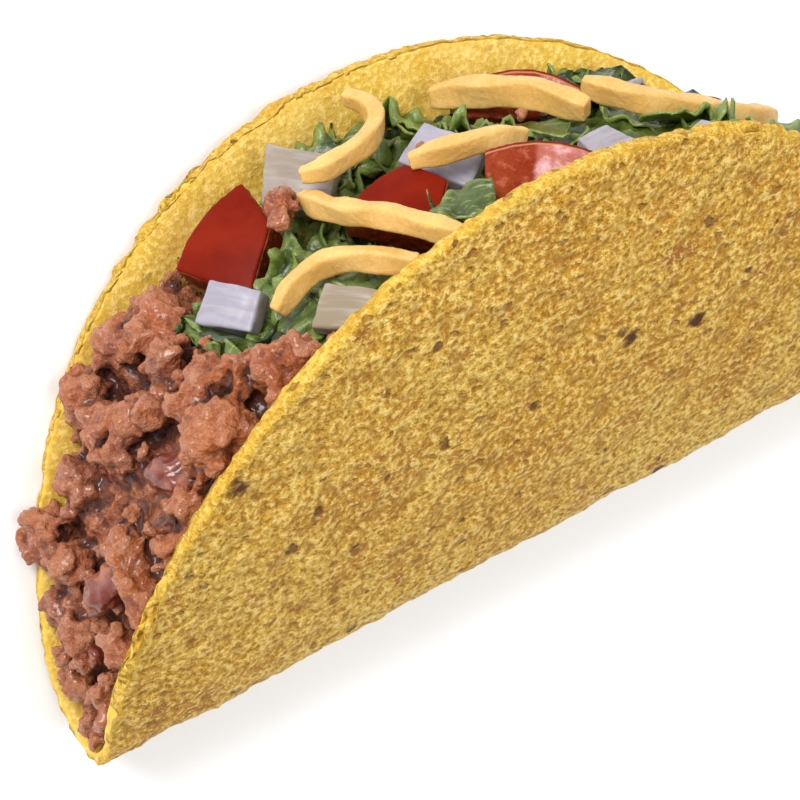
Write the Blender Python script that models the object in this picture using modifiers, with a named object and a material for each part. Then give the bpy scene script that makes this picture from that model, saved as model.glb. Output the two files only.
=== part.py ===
"""A filled hard-shell taco, lying on its back wall with its mouth to +Y.

Lengths are in metres, +Z is up and +X runs along the fold, from the end where the beans
show to the end where the lettuce hangs out. Everything is modelled standing up, with the
fold along the bottom at z = 0, and an empty then lays the whole taco down on one flat
strip of its back wall. Standing, the front wall is at -Y and the back wall at +Y.
"""
import math

import bmesh
import bpy
from mathutils import Euler, Vector, noise

MM = 0.001

# The shell is a round corn sheet bent over a bar.
HALF_LENGTH = 70 * MM               # from the middle of the fold to its end
HALF_ARC = 71.3 * MM                # from the fold to the rim, along the wall
WALL = 2.0 * MM
FOLD_RADIUS = 8.63 * MM             # of the middle of the wall
FOLD_ANGLE = math.radians(66.8)     # how far each side turns up round the fold
WALL_CURVE = 4.7                    # radians a metre, by which the walls go on turning
REST_STRIP = (20 * MM, 44 * MM)     # flat strip of the back wall that the taco rests on
RIM_ROUNDING = 0.5 * MM

# The filling lies inside the shell, a little below the rim.
GAP = 0.3 * MM
RIM_INSET = 2.0 * MM                # from the rim down to the beans, at both open ends
BEAN_DEPTH = 22 * MM                # how much lower the beans lie under the lettuce
BEAN_LUMP = 9.0 * MM                # across one lump
BEAN_LUMP_HEIGHT = 1.9 * MM
BEAN_CROWN = 0.8 * MM
LETTUCE_RUFFLE = 6.5 * MM           # across one ruffle
LETTUCE_RUFFLE_HEIGHT = 0.9 * MM
LETTUCE_THINNEST = 1.2 * MM
LETTUCE_GAP = 1.0 * MM              # from the beans up to the lettuce
LETTUCE_SPAN = (math.radians(53), math.radians(148))    # along the rim, from the near end

# Each diced piece: centre, turn in degrees, four corners of its face, thickness, bulge
# of the face, and how far each of its four edges bows out. All lengths are in mm.
TOMATOES = (
    ((-28.9, 10.3, 53.7), (34, 20, -71), ((-4.6, 7.1), (2.5, 4.6), (6.0, -4.6), (-4.9, -6.4)),
     5.5, 0.9, (0.3, 0.2, 0.3, 1.2)),
    ((-10.4, -3.1, 57.2), (14, -22, 17), ((-5.3, 6.3), (4.1, 3.1), (4.4, -2.9), (-3.2, -5.8)),
     4.5, 1.0, (0.8, 0.3, 0.4, 0.4)),
    ((17.8, 10.9, 56.0), (42, 11, -34), ((-7.4, 2.2), (7.2, 2.4), (7.8, -2.9), (-7.5, -2.8)),
     5.0, 0.3, (2.2, 0.4, 0.0, 0.4)),
    ((2.2, -14.6, 58.8), (34, 8, -38), ((-7.0, 3.9), (8.4, 3.2), (2.8, -3.6), (-4.6, -4.2)),
     5.0, 0.3, (1.9, 0.6, 0.2, 0.7)),
    ((41.6, 0.6, 47.8), (30, 10, 10), ((-3.4, 2.6), (3.2, 2.2), (3.4, -2.4), (-3.6, -2.6)),
     5.0, 0.8, (0.7, 0.2, 0.2, 0.2)),
    ((49.5, -10.5, 40.6), (25, 38, 20), ((-3.8, 3.4), (4.0, 2.6), (3.4, -3.4), (-4.0, -3.0)),
     5.0, 0.9, (0.3, 0.8, 0.2, 0.2)),
)
ONIONS = (
    ((-17.2, 12.5, 57.6), (37, 10, -50), ((-5.4, 4.1), (4.6, 3.9), (4.8, -3.9), (-4.0, -4.1)),
     2.6, 0.4, (0.2, 0.1, 0.2, 0.1)),
    ((-35.8, 0.2, 51.8), (40, 6, -57), ((-3.5, 2.9), (3.6, 2.6), (3.8, -2.6), (-3.9, -2.9)),
     3.0, 0.3, (0.1, 0.1, 0.1, 0.1)),
    ((-26.1, -14.0, 52.9), (36, 4, -51), ((-4.3, 2.9), (4.9, 2.5), (4.2, -2.5), (-4.8, -2.9)),
     2.6, 0.3, (0.1, 0.1, 0.1, 0.1)),
    ((-1.2, 1.7, 58.4), (25, 16, -60), ((-4.6, 3.2), (4.5, 3.3), (5.2, -3.3), (-5.2, -3.2)),
     2.4, 0.4, (0.2, 0.1, 0.2, 0.1)),
    ((16.4, -9.9, 56.2), (21, -1, 0), ((-2.6, 3.5), (2.0, 3.3), (4.6, -3.3), (-2.8, -3.5)),
     2.4, 0.3, (0.1, 0.1, 0.1, 0.1)),
    ((27.4, -16.4, 55.0), (22, -3, 22), ((-3.4, 2.9), (2.8, 2.6), (3.8, -2.4), (-3.2, -2.8)),
     2.4, 0.3, (0.1, 0.1, 0.1, 0.1)),
    ((34.0, 12.5, 51.2), (-20, 14, 30), ((-3.6, 3.2), (3.8, 2.8), (3.4, -3.2), (-3.8, -2.8)),
     2.6, 0.3, (0.1, 0.1, 0.1, 0.1)),
)
# Each shred of cheese: the points it passes through, its width, its thickness and its
# tilt in degrees. Lengths are in mm.
CHEESES = (
    (((-4.6, 19.6, 62.4), (-3.6, 16.3, 62.0), (-4.8, 11.7, 61.4), (-8.6, 8.2, 60.9),
      (-13.2, 6.6, 61.0), (-16.9, 6.7, 60.6), (-18.8, 8.0, 60.4)), 2.9, 2.3, 0),
    (((-19.5, 7.4, 57.6), (-19.6, 1.8, 58.2), (-18.9, -3.9, 59.3), (-17.0, -9.2, 59.8),
      (-14.2, -15.0, 59.2), (-11.8, -18.6, 58.4)), 3.0, 2.4, 0),
    (((-32.3, -5.9, 51.8), (-29.2, -5.7, 54.0), (-25.7, -6.4, 55.6), (-22.8, -9.1, 56.4),
      (-20.3, -13.3, 56.6), (-17.6, -16.6, 56.4)), 3.0, 2.4, 0),
    (((7.4, 17.4, 58.4), (11.1, 12.6, 59.2), (15.8, 5.6, 59.2), (19.4, -1.5, 57.6)), 3.9, 2.9, 0),
    (((-7.7, -0.5, 60.6), (-3.3, -2.9, 61.3), (1.9, -4.3, 61.1), (7.6, -4.0, 59.4)), 3.0, 2.4, 0),
    (((23.4, 5.0, 57.8), (26.5, 1.0, 56.4), (29.1, -2.0, 55.2), (35.7, -4.2, 52.2),
      (41.6, -4.4, 49.0), (50.3, -1.6, 44.4)), 3.4, 2.6, 0),
    (((46.0, 13.0, 42.6), (49.5, 8.0, 42.4), (52.0, 3.0, 40.8), (53.0, -3.0, 39.6)), 3.0, 2.4, 0),
)
# The pieces that sink into the beans; all of them sink into the lettuce.
IN_THE_BEANS = ("tomato_1", "onion_2", "onion_3", "cheese_3", "tomato_6", "cheese_7")


# ---------------------------------------------------------------- the shape of the shell
def wall_curve(s):
    """Place and slope of the wall's middle at arc length s from the fold, on the +Y side."""
    turn = min(s / FOLD_RADIUS, FOLD_ANGLE)
    y = FOLD_RADIUS * math.sin(turn)
    z = FOLD_RADIUS * (1 - math.cos(turn))
    rest = s - FOLD_RADIUS * FOLD_ANGLE
    if rest > 0:
        mean = FOLD_ANGLE + WALL_CURVE * rest / 2
        y += rest * math.cos(mean)
        z += rest * math.sin(mean)
        turn += WALL_CURVE * rest
    return y, z, turn


def rest_slope():
    """Slope of the flat strip that the taco rests on."""
    y0, z0, _ = wall_curve(REST_STRIP[0])
    y1, z1, _ = wall_curve(REST_STRIP[1])
    return math.atan2(z1 - z0, y1 - y0)


def wall_point(x, s, inward=0.0):
    """A point of the bent sheet; s is the arc from the fold, below 0 on the front wall."""
    y, z, turn = wall_curve(abs(s))
    if REST_STRIP[0] < s < REST_STRIP[1]:
        share = (s - REST_STRIP[0]) / (REST_STRIP[1] - REST_STRIP[0])
        y0, z0, _ = wall_curve(REST_STRIP[0])
        y1, z1, _ = wall_curve(REST_STRIP[1])
        y = y0 + share * (y1 - y0)
        z = z0 + share * (z1 - z0)
        turn = rest_slope()
    side = 1 if s >= 0 else -1
    return Vector((x, side * (y - inward * math.sin(turn)), z + inward * math.cos(turn)))


# ------------------------------------------------------------------------------- helpers
def empty_scene():
    for thing in list(bpy.context.scene.objects):
        bpy.data.objects.remove(thing, do_unlink=True)


def make_collection(name):
    collection = bpy.data.collections.new(name)
    bpy.context.scene.collection.children.link(collection)
    return collection


def make_material(name, colour, roughness):
    material = bpy.data.materials.new(name)
    material.use_nodes = True
    shader = material.node_tree.nodes["Principled BSDF"]
    shader.inputs["Base Color"].default_value = (*colour, 1)
    shader.inputs["Roughness"].default_value = roughness
    shader.inputs["Metallic"].default_value = 0
    return material


def add_object(name, data, collection, material=None):
    item = bpy.data.objects.new(name, data)
    collection.objects.link(item)
    if material:
        data.materials.append(material)
    return item


def mesh_from(name, build):
    """A mesh filled by build(bm), with its faces turned outwards."""
    bm = bmesh.new()
    build(bm)
    bmesh.ops.recalc_face_normals(bm, faces=bm.faces)
    mesh = bpy.data.meshes.new(name)
    bm.to_mesh(mesh)
    bm.free()
    mesh.shade_smooth()
    mesh.set_sharp_from_angle(angle=math.radians(40))
    return mesh


def bridge_rings(bm, rings):
    """A closed tube through rings of equally many points, with both ends filled."""
    loops = [[bm.verts.new(point) for point in ring] for ring in rings]
    count = len(loops[0])
    for first, second in zip(loops, loops[1:]):
        for i in range(count):
            j = (i + 1) % count
            bm.faces.new((first[i], first[j], second[j], second[i]))
    for loop in (loops[0], loops[-1]):
        bmesh.ops.triangulate(bm, faces=[bm.faces.new(loop)])


def smooth_step(value, start, end):
    share = min(max((value - start) / (end - start), 0), 1)
    return share * share * (3 - 2 * share)


def spread(first, last, count):
    return [first + (last - first) * i / (count - 1) for i in range(count)]


# --------------------------------------------------------------------------------- shell
def shell_rows():
    """Arc lengths of the rows of faces: close round the fold, wider up the walls."""
    fold_end = FOLD_RADIUS * FOLD_ANGLE
    fold = spread(-fold_end, fold_end, 11)
    wall = spread(fold_end, REST_STRIP[0], 3)[1:] + spread(*REST_STRIP, 5)[1:]
    top = [HALF_ARC * math.sin(a) for a in spread(math.asin(REST_STRIP[1] / HALF_ARC), 1.52, 8)]
    wall += top[1:]
    return [-s for s in reversed(wall)] + fold + wall


def make_shell(collection, material):
    columns = 6

    def build(bm):
        rows = []
        for s in shell_rows():
            reach = HALF_LENGTH * math.sqrt(1 - (s / HALF_ARC) ** 2)
            rows.append([bm.verts.new(wall_point(x, s)) for x in spread(-reach, reach, columns + 1)])
        for low, high in zip(rows, rows[1:]):
            for j in range(columns):
                bm.faces.new((low[j], low[j + 1], high[j + 1], high[j]))

    shell = add_object("shell", mesh_from("shell", build), collection, material)
    wall = shell.modifiers.new("wall", "SOLIDIFY")
    wall.thickness = WALL
    wall.offset = 0
    wall.use_even_offset = True
    rim = shell.modifiers.new("rim", "BEVEL")
    rim.width = RIM_ROUNDING
    rim.segments = 1
    rim.limit_method = "ANGLE"
    rim.angle_limit = math.radians(60)
    return shell


# ------------------------------------------------------------------- beans and lettuce
def under_lettuce(t, f):
    """0 where the beans lie open and 1 where they are deep under the lettuce."""
    near = smooth_step(t, math.radians(50 + 10 * f * f), math.radians(70 + 6 * f * f))
    far = 1 - smooth_step(t, math.radians(122), math.radians(146))
    return near * far


def across(t, f, depth, lift):
    """A point over the mouth: t runs along the rim and f from the front to the back wall."""
    x = -(HALF_LENGTH - RIM_INSET) * math.cos(t)
    s = (HALF_ARC - RIM_INSET) * math.sin(t) - depth
    front = wall_point(x, -s, WALL / 2 + GAP)
    back = wall_point(x, s, WALL / 2 + GAP)
    return front.lerp(back, (f + 1) / 2) + lift * Vector((-math.cos(t), 0, math.sin(t)))


def lumps(point, size):
    """Round lumps of a size, from 1 on their tops down to about -1 in the creases."""
    nearest = noise.voronoi(point / size)[0][0]
    return 1 - 4 * nearest * nearest


def lettuce_width(t):
    """Share of the mouth's width that the lettuce covers, narrow where it thins out."""
    near = smooth_step(t, math.radians(54), math.radians(70))
    far = 1 - smooth_step(t, math.radians(138), math.radians(152))
    return 0.28 + 0.68 * near * (0.4 + 0.6 * far)


def lettuce_depth(t):
    """How far below the beans' open level the lettuce's top lies, along the wall."""
    near = smooth_step(t, math.radians(50), math.radians(72))
    heaped = smooth_step(t, math.radians(96), math.radians(124))
    return (6.5 * near - 6.7 * heaped) * MM


def open_beans(t, f):
    """1 where the beans show, falling to 0 beside and under the lettuce."""
    margin = math.radians(5)
    along = smooth_step(t, LETTUCE_SPAN[0] - margin, LETTUCE_SPAN[0] - 0.2 * margin)
    along *= 1 - smooth_step(t, LETTUCE_SPAN[1] + 0.2 * margin, LETTUCE_SPAN[1] + margin)
    beside = smooth_step(abs(f), lettuce_width(t) + 0.2, lettuce_width(t) + 0.35)
    return max(1 - along, beside) * min(1.0, math.sin(t) * 4)


def bean_top(t, f):
    flat = across(t, f, under_lettuce(t, f) * BEAN_DEPTH, 0)
    lump = BEAN_LUMP_HEIGHT * lumps(flat, BEAN_LUMP)
    lift = (BEAN_CROWN + open_beans(t, f) * lump) * (1 - f ** 4)
    return flat + lift * Vector((-math.cos(t), 0, math.sin(t)))


def make_beans(collection, material):
    def build(bm):
        rings = []
        for t in spread(math.radians(3), math.radians(177), 56):
            ring = [bean_top(t, f) for f in spread(-1, 1, 11)]
            edge = (HALF_ARC - RIM_INSET) * math.sin(t) - under_lettuce(t, 1) * BEAN_DEPTH
            x = -(HALF_LENGTH - RIM_INSET) * math.cos(t)
            fold_end = min(FOLD_RADIUS * FOLD_ANGLE, 0.6 * edge)
            arcs = spread(edge, fold_end, 5)[1:] + spread(fold_end, -fold_end, 8)[1:]
            arcs += spread(-fold_end, -edge, 5)[1:-1]
            ring += [wall_point(x, s, WALL / 2 + GAP) for s in arcs]
            rings.append(ring)
        bridge_rings(bm, rings)

    return add_object("beans", mesh_from("beans", build), collection, material)


def make_lettuce(collection, material):
    def build(bm):
        rings = []
        for t in spread(*LETTUCE_SPAN, 28):
            width = lettuce_width(t)
            out = Vector((-math.cos(t), 0, math.sin(t)))
            bottom = []
            top = []
            for f in spread(-1, 1, 8):
                low = bean_top(t, width * f) + LETTUCE_GAP * out
                level = across(t, width * f, lettuce_depth(t), 0)
                ruffle = LETTUCE_RUFFLE_HEIGHT * lumps(level, LETTUCE_RUFFLE) * (1 - f ** 4)
                height = max(ruffle, LETTUCE_THINNEST - (level - low).dot(out))
                bottom.append(low)
                top.append(level + height * out)
            top.reverse()
            rings.append(bottom + [bottom[-1].lerp(top[0], 0.5)] + top + [top[-1].lerp(bottom[0], 0.5)])
        bridge_rings(bm, rings)

    return add_object("lettuce", mesh_from("lettuce", build), collection, material)


# ------------------------------------------------------------------------------ toppings
def diced_mesh(name, corners, thickness, bulge, bows, grow):
    """A cut piece whose face has four corners, made from a cube with its edges creased."""
    flat = [Vector((x, y)) * MM for x, y in corners]
    middle = sum(flat, Vector((0, 0))) / 4
    flat = [p + (p - middle).normalized() * grow * 1.4 for p in flat]
    half = thickness * MM / 2 + grow

    def build(bm):
        bmesh.ops.create_cube(bm, size=2)
        crease = bm.edges.layers.float.new("crease_edge")
        for edge in bm.edges:
            edge[crease] = 0.75
        bmesh.ops.subdivide_edges(bm, edges=bm.edges, cuts=1, use_grid_fill=True)
        for vert in bm.verts:
            u, v, w = vert.co
            top = flat[0].lerp(flat[1], (u + 1) / 2)
            bottom = flat[3].lerp(flat[2], (u + 1) / 2)
            place = bottom.lerp(top, (v + 1) / 2)
            place.y += MM * (1 - u * u) * ((v + 1) / 2 * bows[0] + (v - 1) / 2 * bows[2])
            place.x += MM * (1 - v * v) * ((u + 1) / 2 * bows[1] + (u - 1) / 2 * bows[3])
            dome = bulge * MM * (1 - u * u) * (1 - v * v) * (w + 1) / 2
            vert.co = (place.x, place.y, (w - 1) * half + grow + dome)

    return mesh_from(name, build)


def make_diced(kind, number, row, collection, material, cutters):
    centre, turn, corners, thickness, bulge, bows = row
    made = []
    for name, grow, home in ((f"{kind}_{number}", 0.0, collection), (f"{kind}_{number}_room", GAP, cutters)):
        mesh = diced_mesh(name, corners, thickness, bulge, bows, grow)
        piece = add_object(name, mesh, home, material)
        piece.location = Vector(centre) * MM
        piece.rotation_euler = Euler([math.radians(angle) for angle in turn])
        soft = piece.modifiers.new("soft", "SUBSURF")
        soft.levels = 1
        soft.render_levels = 1
        made.append(piece)
    return made


def smooth_route(points, step):
    """Points about a step apart on a smooth curve through the given ones."""
    points = [Vector(p) * MM for p in points]
    points = [2 * points[0] - points[1], *points, 2 * points[-1] - points[-2]]
    route = []
    for a, b, c, d in zip(points, points[1:], points[2:], points[3:]):
        count = max(1, round((c - b).length / step))
        for i in range(count):
            t = i / count
            route.append(0.5 * ((2 * b) + (c - a) * t + (2 * a - 5 * b + 4 * c - d) * t ** 2
                                + (3 * b - a - 3 * c + d) * t ** 3))
    return route + [points[-2]]


def shred_mesh(name, row, grow):
    """One shred of cheese: a curve with a flat, round-edged section, made a mesh."""
    points, width, thickness, tilt = row
    curve = bpy.data.curves.new(name, "CURVE")
    curve.dimensions = "3D"
    curve.twist_mode = "Z_UP"
    curve.bevel_depth = thickness * MM / 2 + grow
    curve.extrude = (width - thickness) * MM / 2
    curve.bevel_resolution = 1
    curve.use_fill_caps = True
    route = smooth_route(points, 3 * MM)
    if grow:
        route[0] += grow * (route[0] - route[1]).normalized()
        route[-1] += grow * (route[-1] - route[-2]).normalized()
    spline = curve.splines.new("POLY")
    spline.points.add(len(route) - 1)
    for point, place in zip(spline.points, route):
        point.co = (*place, 1)
        point.tilt = math.radians(90 + tilt)
    guide = bpy.data.objects.new(name, curve)
    bpy.context.scene.collection.objects.link(guide)
    graph = bpy.context.evaluated_depsgraph_get()
    raw = bpy.data.meshes.new_from_object(guide.evaluated_get(graph))
    bpy.data.objects.remove(guide, do_unlink=True)

    def build(bm):
        bm.from_mesh(raw)
        bmesh.ops.remove_doubles(bm, verts=bm.verts, dist=0.00002)

    return mesh_from(name, build)


def make_shred(number, row, collection, material, cutters):
    piece = add_object(f"cheese_{number}", shred_mesh(f"cheese_{number}", row, 0.0), collection, material)
    room = add_object(f"cheese_{number}_room", shred_mesh(f"cheese_{number}_room", row, GAP), cutters)
    return [piece, room]


# ------------------------------------------------------------------------------ assembly
def cut_by(piece, cutters):
    for cutter in cutters:
        cut = piece.modifiers.new(cutter.name, "BOOLEAN")
        cut.operation = "DIFFERENCE"
        cut.object = cutter
        cut.solver = "EXACT"


def lay_down(pieces, holder):
    """Turn the taco onto its flat strip, with the origin under the middle of its box."""
    holder.rotation_euler = Euler((-rest_slope(), 0, 0))
    bpy.context.view_layer.update()
    graph = bpy.context.evaluated_depsgraph_get()
    places = []
    for piece in pieces:
        seen = piece.evaluated_get(graph)
        places += [seen.matrix_world @ vert.co for vert in seen.data.vertices]
    low = [min(p[i] for p in places) for i in range(3)]
    high = [max(p[i] for p in places) for i in range(3)]
    holder.location = (-(low[0] + high[0]) / 2, -(low[1] + high[1]) / 2, -low[2])


def main():
    empty_scene()
    taco = make_collection("taco")
    rooms = make_collection("rooms for the toppings")
    corn = make_material("fried corn", (0.68, 0.39, 0.08), 0.6)
    bean = make_material("mashed beans", (0.30, 0.11, 0.06), 0.45)
    leaf = make_material("lettuce leaf", (0.05, 0.14, 0.03), 0.35)
    tomato = make_material("tomato", (0.46, 0.03, 0.015), 0.3)
    onion = make_material("white onion", (0.72, 0.70, 0.68), 0.3)
    cheese = make_material("yellow cheese", (0.80, 0.50, 0.12), 0.45)

    pieces = [make_shell(taco, corn), make_beans(taco, bean), make_lettuce(taco, leaf)]
    cutters = []
    for kind, rows, material in (("tomato", TOMATOES, tomato), ("onion", ONIONS, onion)):
        for number, row in enumerate(rows, 1):
            piece, room = make_diced(kind, number, row, taco, material, rooms)
            pieces.append(piece)
            cutters.append(room)
    for number, row in enumerate(CHEESES, 1):
        piece, room = make_shred(number, row, taco, cheese, rooms)
        pieces.append(piece)
        cutters.append(room)
    for room in cutters:
        room.hide_render = True
        room.display_type = "WIRE"
    cut_by(pieces[1], [room for room in cutters if room.name[:-5] in IN_THE_BEANS])
    cut_by(pieces[2], cutters)

    holder = bpy.data.objects.new("lying", None)
    bpy.context.scene.collection.objects.link(holder)
    for piece in pieces + cutters:
        piece.parent = holder
    lay_down(pieces, holder)


main()
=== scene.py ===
# %% [markdown]
# # A filled hard-shell taco
#
# The taco lies on the flat strip of its back wall, with its mouth towards +Y. The packed
# model gives its size and the solids that the pieces stand for. The rows of numbers below
# say again where those solids lie, and where the details between them go. Each piece is
# modelled standing, with the fold of the shell along the bottom, because that is how a
# cook fills it, and is then laid down over its solid.

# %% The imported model
import math
import random

import bmesh
import bpy
import numpy as np
from mathutils import Euler, Matrix, Vector
from mathutils.bvhtree import BVHTree


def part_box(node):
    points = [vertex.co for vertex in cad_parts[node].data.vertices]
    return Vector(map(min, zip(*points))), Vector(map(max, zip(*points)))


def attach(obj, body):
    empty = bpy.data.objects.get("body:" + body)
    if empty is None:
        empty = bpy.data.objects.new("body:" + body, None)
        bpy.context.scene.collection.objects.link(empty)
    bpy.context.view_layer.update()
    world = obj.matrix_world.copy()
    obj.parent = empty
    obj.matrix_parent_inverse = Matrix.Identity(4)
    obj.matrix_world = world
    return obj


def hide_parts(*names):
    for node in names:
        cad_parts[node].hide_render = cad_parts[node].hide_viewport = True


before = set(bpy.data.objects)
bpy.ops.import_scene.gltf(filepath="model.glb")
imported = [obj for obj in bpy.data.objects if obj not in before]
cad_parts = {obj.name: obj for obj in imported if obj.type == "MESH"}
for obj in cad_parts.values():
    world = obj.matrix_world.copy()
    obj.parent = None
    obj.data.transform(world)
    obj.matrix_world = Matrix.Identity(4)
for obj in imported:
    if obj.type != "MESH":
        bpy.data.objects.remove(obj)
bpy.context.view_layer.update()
MM = 0.001
print("solids:", ", ".join(sorted(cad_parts)))

# %% [markdown]
# ## The bent sheet in numbers
#
# A hard shell is a round corn sheet bent over a bar. Every other piece lies somewhere on
# or between its walls, so one function that says where a point of the flat sheet ends up
# places them all. Arc lengths run from the fold up the wall, and are below 0 at the front.

# %% Where a point of the sheet is once it is bent
HALF_LENGTH = 70 * MM               # from the middle of the fold to its end
HALF_ARC = 71.3 * MM                # from the fold to the rim, along the wall
WALL = 2.0 * MM
FOLD_RADIUS = 8.63 * MM
FOLD_ANGLE = math.radians(66.8)
WALL_CURVE = 4.7                    # radians a metre, by which a wall goes on turning
REST_STRIP = (20 * MM, 44 * MM)     # flat strip of the back wall, on which the taco lies


def wall_curve(arc):
    """Place and slope of the wall's middle at an arc length, on the back side."""
    turn = min(arc / FOLD_RADIUS, FOLD_ANGLE)
    y = FOLD_RADIUS * math.sin(turn)
    z = FOLD_RADIUS * (1 - math.cos(turn))
    rest = arc - FOLD_RADIUS * FOLD_ANGLE
    if rest > 0:
        mean = FOLD_ANGLE + WALL_CURVE * rest / 2
        y += rest * math.cos(mean)
        z += rest * math.sin(mean)
        turn += WALL_CURVE * rest
    return y, z, turn


def rest_slope():
    """Slope of the flat strip when the taco stands."""
    low, high = wall_curve(REST_STRIP[0]), wall_curve(REST_STRIP[1])
    return math.atan2(high[1] - low[1], high[0] - low[0])


def wall_point(x, arc, inward=0.0):
    """Where a point of the flat sheet is on the bent one, or a little inside it."""
    y, z, turn = wall_curve(abs(arc))
    if REST_STRIP[0] < arc < REST_STRIP[1]:
        low, high = wall_curve(REST_STRIP[0]), wall_curve(REST_STRIP[1])
        share = (arc - REST_STRIP[0]) / (REST_STRIP[1] - REST_STRIP[0])
        y = low[0] + share * (high[0] - low[0])
        z = low[1] + share * (high[1] - low[1])
        turn = rest_slope()
    side = 1 if arc >= 0 else -1
    return Vector((x, side * (y - inward * math.sin(turn)), z + inward * math.cos(turn)))


def laying_down():
    """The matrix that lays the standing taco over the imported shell."""
    turn = Matrix.Rotation(-rest_slope(), 4, "X")
    skin = [turn @ wall_point(0, HALF_ARC * i / 400, inward)
            for i in range(-400, 401) for inward in (-WALL / 2, WALL / 2)]
    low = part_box("shell")[0]
    shift = Vector((0, low.y - min(p.y for p in skin), low.z - min(p.z for p in skin)))
    return Matrix.Translation(shift) @ turn


LAY = laying_down()
print("laid down by", round(math.degrees(rest_slope()), 2), "degrees and", LAY.translation / MM)

# %% [markdown]
# ## Camera, light and floor
#
# The camera looks down at the front wall and into the mouth from the end where the beans
# show. It is given by its direction from the standing taco, so that it lies down with it.
# A soft lamp a little above the camera does most of the work, a second one on the right
# fills in, and a pale sky lifts the shadows, so that the floor stays almost white.

# %% Camera
CAMERA_AZIMUTH = math.radians(62.63)
CAMERA_HEIGHT = math.radians(32.24)
CAMERA_ROLL = math.radians(-10.66)
CAMERA_DISTANCE = 275.2 * MM
CAMERA_TARGET = Vector((-15.0, 0, 27.9)) * MM


def camera_matrix():
    """Axes and place of the camera over the laid-down taco."""
    back = Vector((-math.cos(CAMERA_AZIMUTH) * math.cos(CAMERA_HEIGHT),
                   -math.sin(CAMERA_AZIMUTH) * math.cos(CAMERA_HEIGHT), math.sin(CAMERA_HEIGHT)))
    level = (-back).cross(Vector((0, 0, 1))).normalized()
    upright = level.cross(-back)
    right = math.cos(CAMERA_ROLL) * level + math.sin(CAMERA_ROLL) * upright
    up = math.cos(CAMERA_ROLL) * upright - math.sin(CAMERA_ROLL) * level
    place = Matrix((right, up, back)).transposed().to_4x4()
    place.translation = CAMERA_TARGET + CAMERA_DISTANCE * back
    return LAY @ place


bpy.ops.object.select_all(action="DESELECT")
bpy.ops.object.camera_add()
camera = bpy.context.object
camera.name = "camera"
camera.matrix_world = camera_matrix()
camera.data.lens = 93.19
camera.data.sensor_width = 36
camera.data.clip_start = 0.01
bpy.context.scene.camera = camera
print("camera", round(CAMERA_DISTANCE / MM), "mm away,", round(camera.data.lens, 1), "mm lens")

# %% Lamps and floor
camera_turn = camera.matrix_world.to_3x3()
right, up, back = (camera_turn @ Vector(axis) for axis in ((1, 0, 0), (0, 1, 0), (0, 0, 1)))
taco_middle = LAY @ Vector((-10 * MM, 0, 35 * MM))


def add_lamp(name, direction, distance, size, power):
    """A square lamp that shines on the taco from a direction."""
    direction = direction.normalized()
    bpy.ops.object.light_add(type="AREA", location=taco_middle + distance * direction)
    lamp = bpy.context.object
    lamp.name = name
    lamp.rotation_euler = direction.to_track_quat("Z", "Y").to_euler()
    lamp.data.size = size
    lamp.data.energy = power


add_lamp("softbox", 0.90 * back + 0.34 * up - 0.30 * right, 0.8, 0.35, 5.9)
add_lamp("fill", 0.75 * back - 0.10 * up + 0.65 * right, 0.9, 0.6, 4.7)
world = bpy.data.worlds.new("bright room")
world.use_nodes = True
world.node_tree.nodes["Background"].inputs["Color"].default_value = (1, 1, 1, 1)
world.node_tree.nodes["Background"].inputs["Strength"].default_value = 0.50
bpy.context.scene.world = world
bpy.context.scene.view_settings.view_transform = "Standard"

bpy.ops.mesh.primitive_plane_add(size=4, location=(0, 0, 0))
floor = bpy.context.object
floor.name = "floor"

# %% [markdown]
# ## Tools of the bench
#
# The same few moves make every piece: select one thing, add a modifier and apply it, cut
# with a knife plane, and lay the finished piece down.

# %% Selecting, modifiers, cutting
def select_only(*items):
    """Object mode, with these objects selected and the first one active."""
    if bpy.context.object and bpy.context.object.mode != "OBJECT":
        bpy.ops.object.mode_set(mode="OBJECT")
    bpy.ops.object.select_all(action="DESELECT")
    for item in items:
        item.select_set(True)
    bpy.context.view_layer.objects.active = items[0]


def apply_modifier(item, kind, **settings):
    """Adds a modifier with these settings and applies it."""
    select_only(item)
    modifier = item.modifiers.new(kind.lower(), kind)
    for name, value in settings.items():
        setattr(modifier, name, value)
    bpy.ops.object.modifier_apply(modifier=modifier.name)


def relief(item, size, height, kind="CLOUDS", middle=0.5, group="", direction="NORMAL", depth=2,
           **settings):
    """Pushes the surface in and out by a pattern with features of a size."""
    pattern = bpy.data.textures.new(item.name + " relief", kind)
    if hasattr(pattern, "noise_scale"):
        pattern.noise_scale = size
    if hasattr(pattern, "noise_depth"):
        pattern.noise_depth = depth
    for name, value in settings.items():
        setattr(pattern, name, value)
    apply_modifier(item, "DISPLACE", texture=pattern, texture_coords="LOCAL", strength=height,
                   mid_level=middle, vertex_group=group, direction=direction)


def cut(point, normal):
    """Cuts off what lies beyond a plane and closes the cut. Edit mode."""
    bpy.ops.mesh.select_all(action="SELECT")
    bpy.ops.mesh.bisect(plane_co=point, plane_no=normal, use_fill=True, clear_outer=True, threshold=1e-6)


def join(name, items):
    """Joins objects into one."""
    select_only(*items)
    bpy.ops.object.join()
    joined = bpy.context.object
    joined.name = joined.data.name = name
    return joined


def triangles(item):
    return sum(len(face.vertices) - 2 for face in item.data.polygons)


def lay(item, material, slot, *nodes):
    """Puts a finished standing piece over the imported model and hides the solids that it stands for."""
    select_only(item)
    item.matrix_world = LAY @ item.matrix_world
    bpy.ops.object.transform_apply(location=True, rotation=True, scale=True)
    item.data.materials.clear()
    item.data.materials.append(material)
    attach(item, "root")
    if nodes:
        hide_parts(*nodes)
    print(item.name, triangles(item), "triangles")


# %% Reading and marking vertices
def places_of(item):
    """The vertices' places as rows."""
    flat = np.empty(len(item.data.vertices) * 3)
    item.data.vertices.foreach_get("co", flat)
    return flat.reshape(-1, 3)


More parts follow.
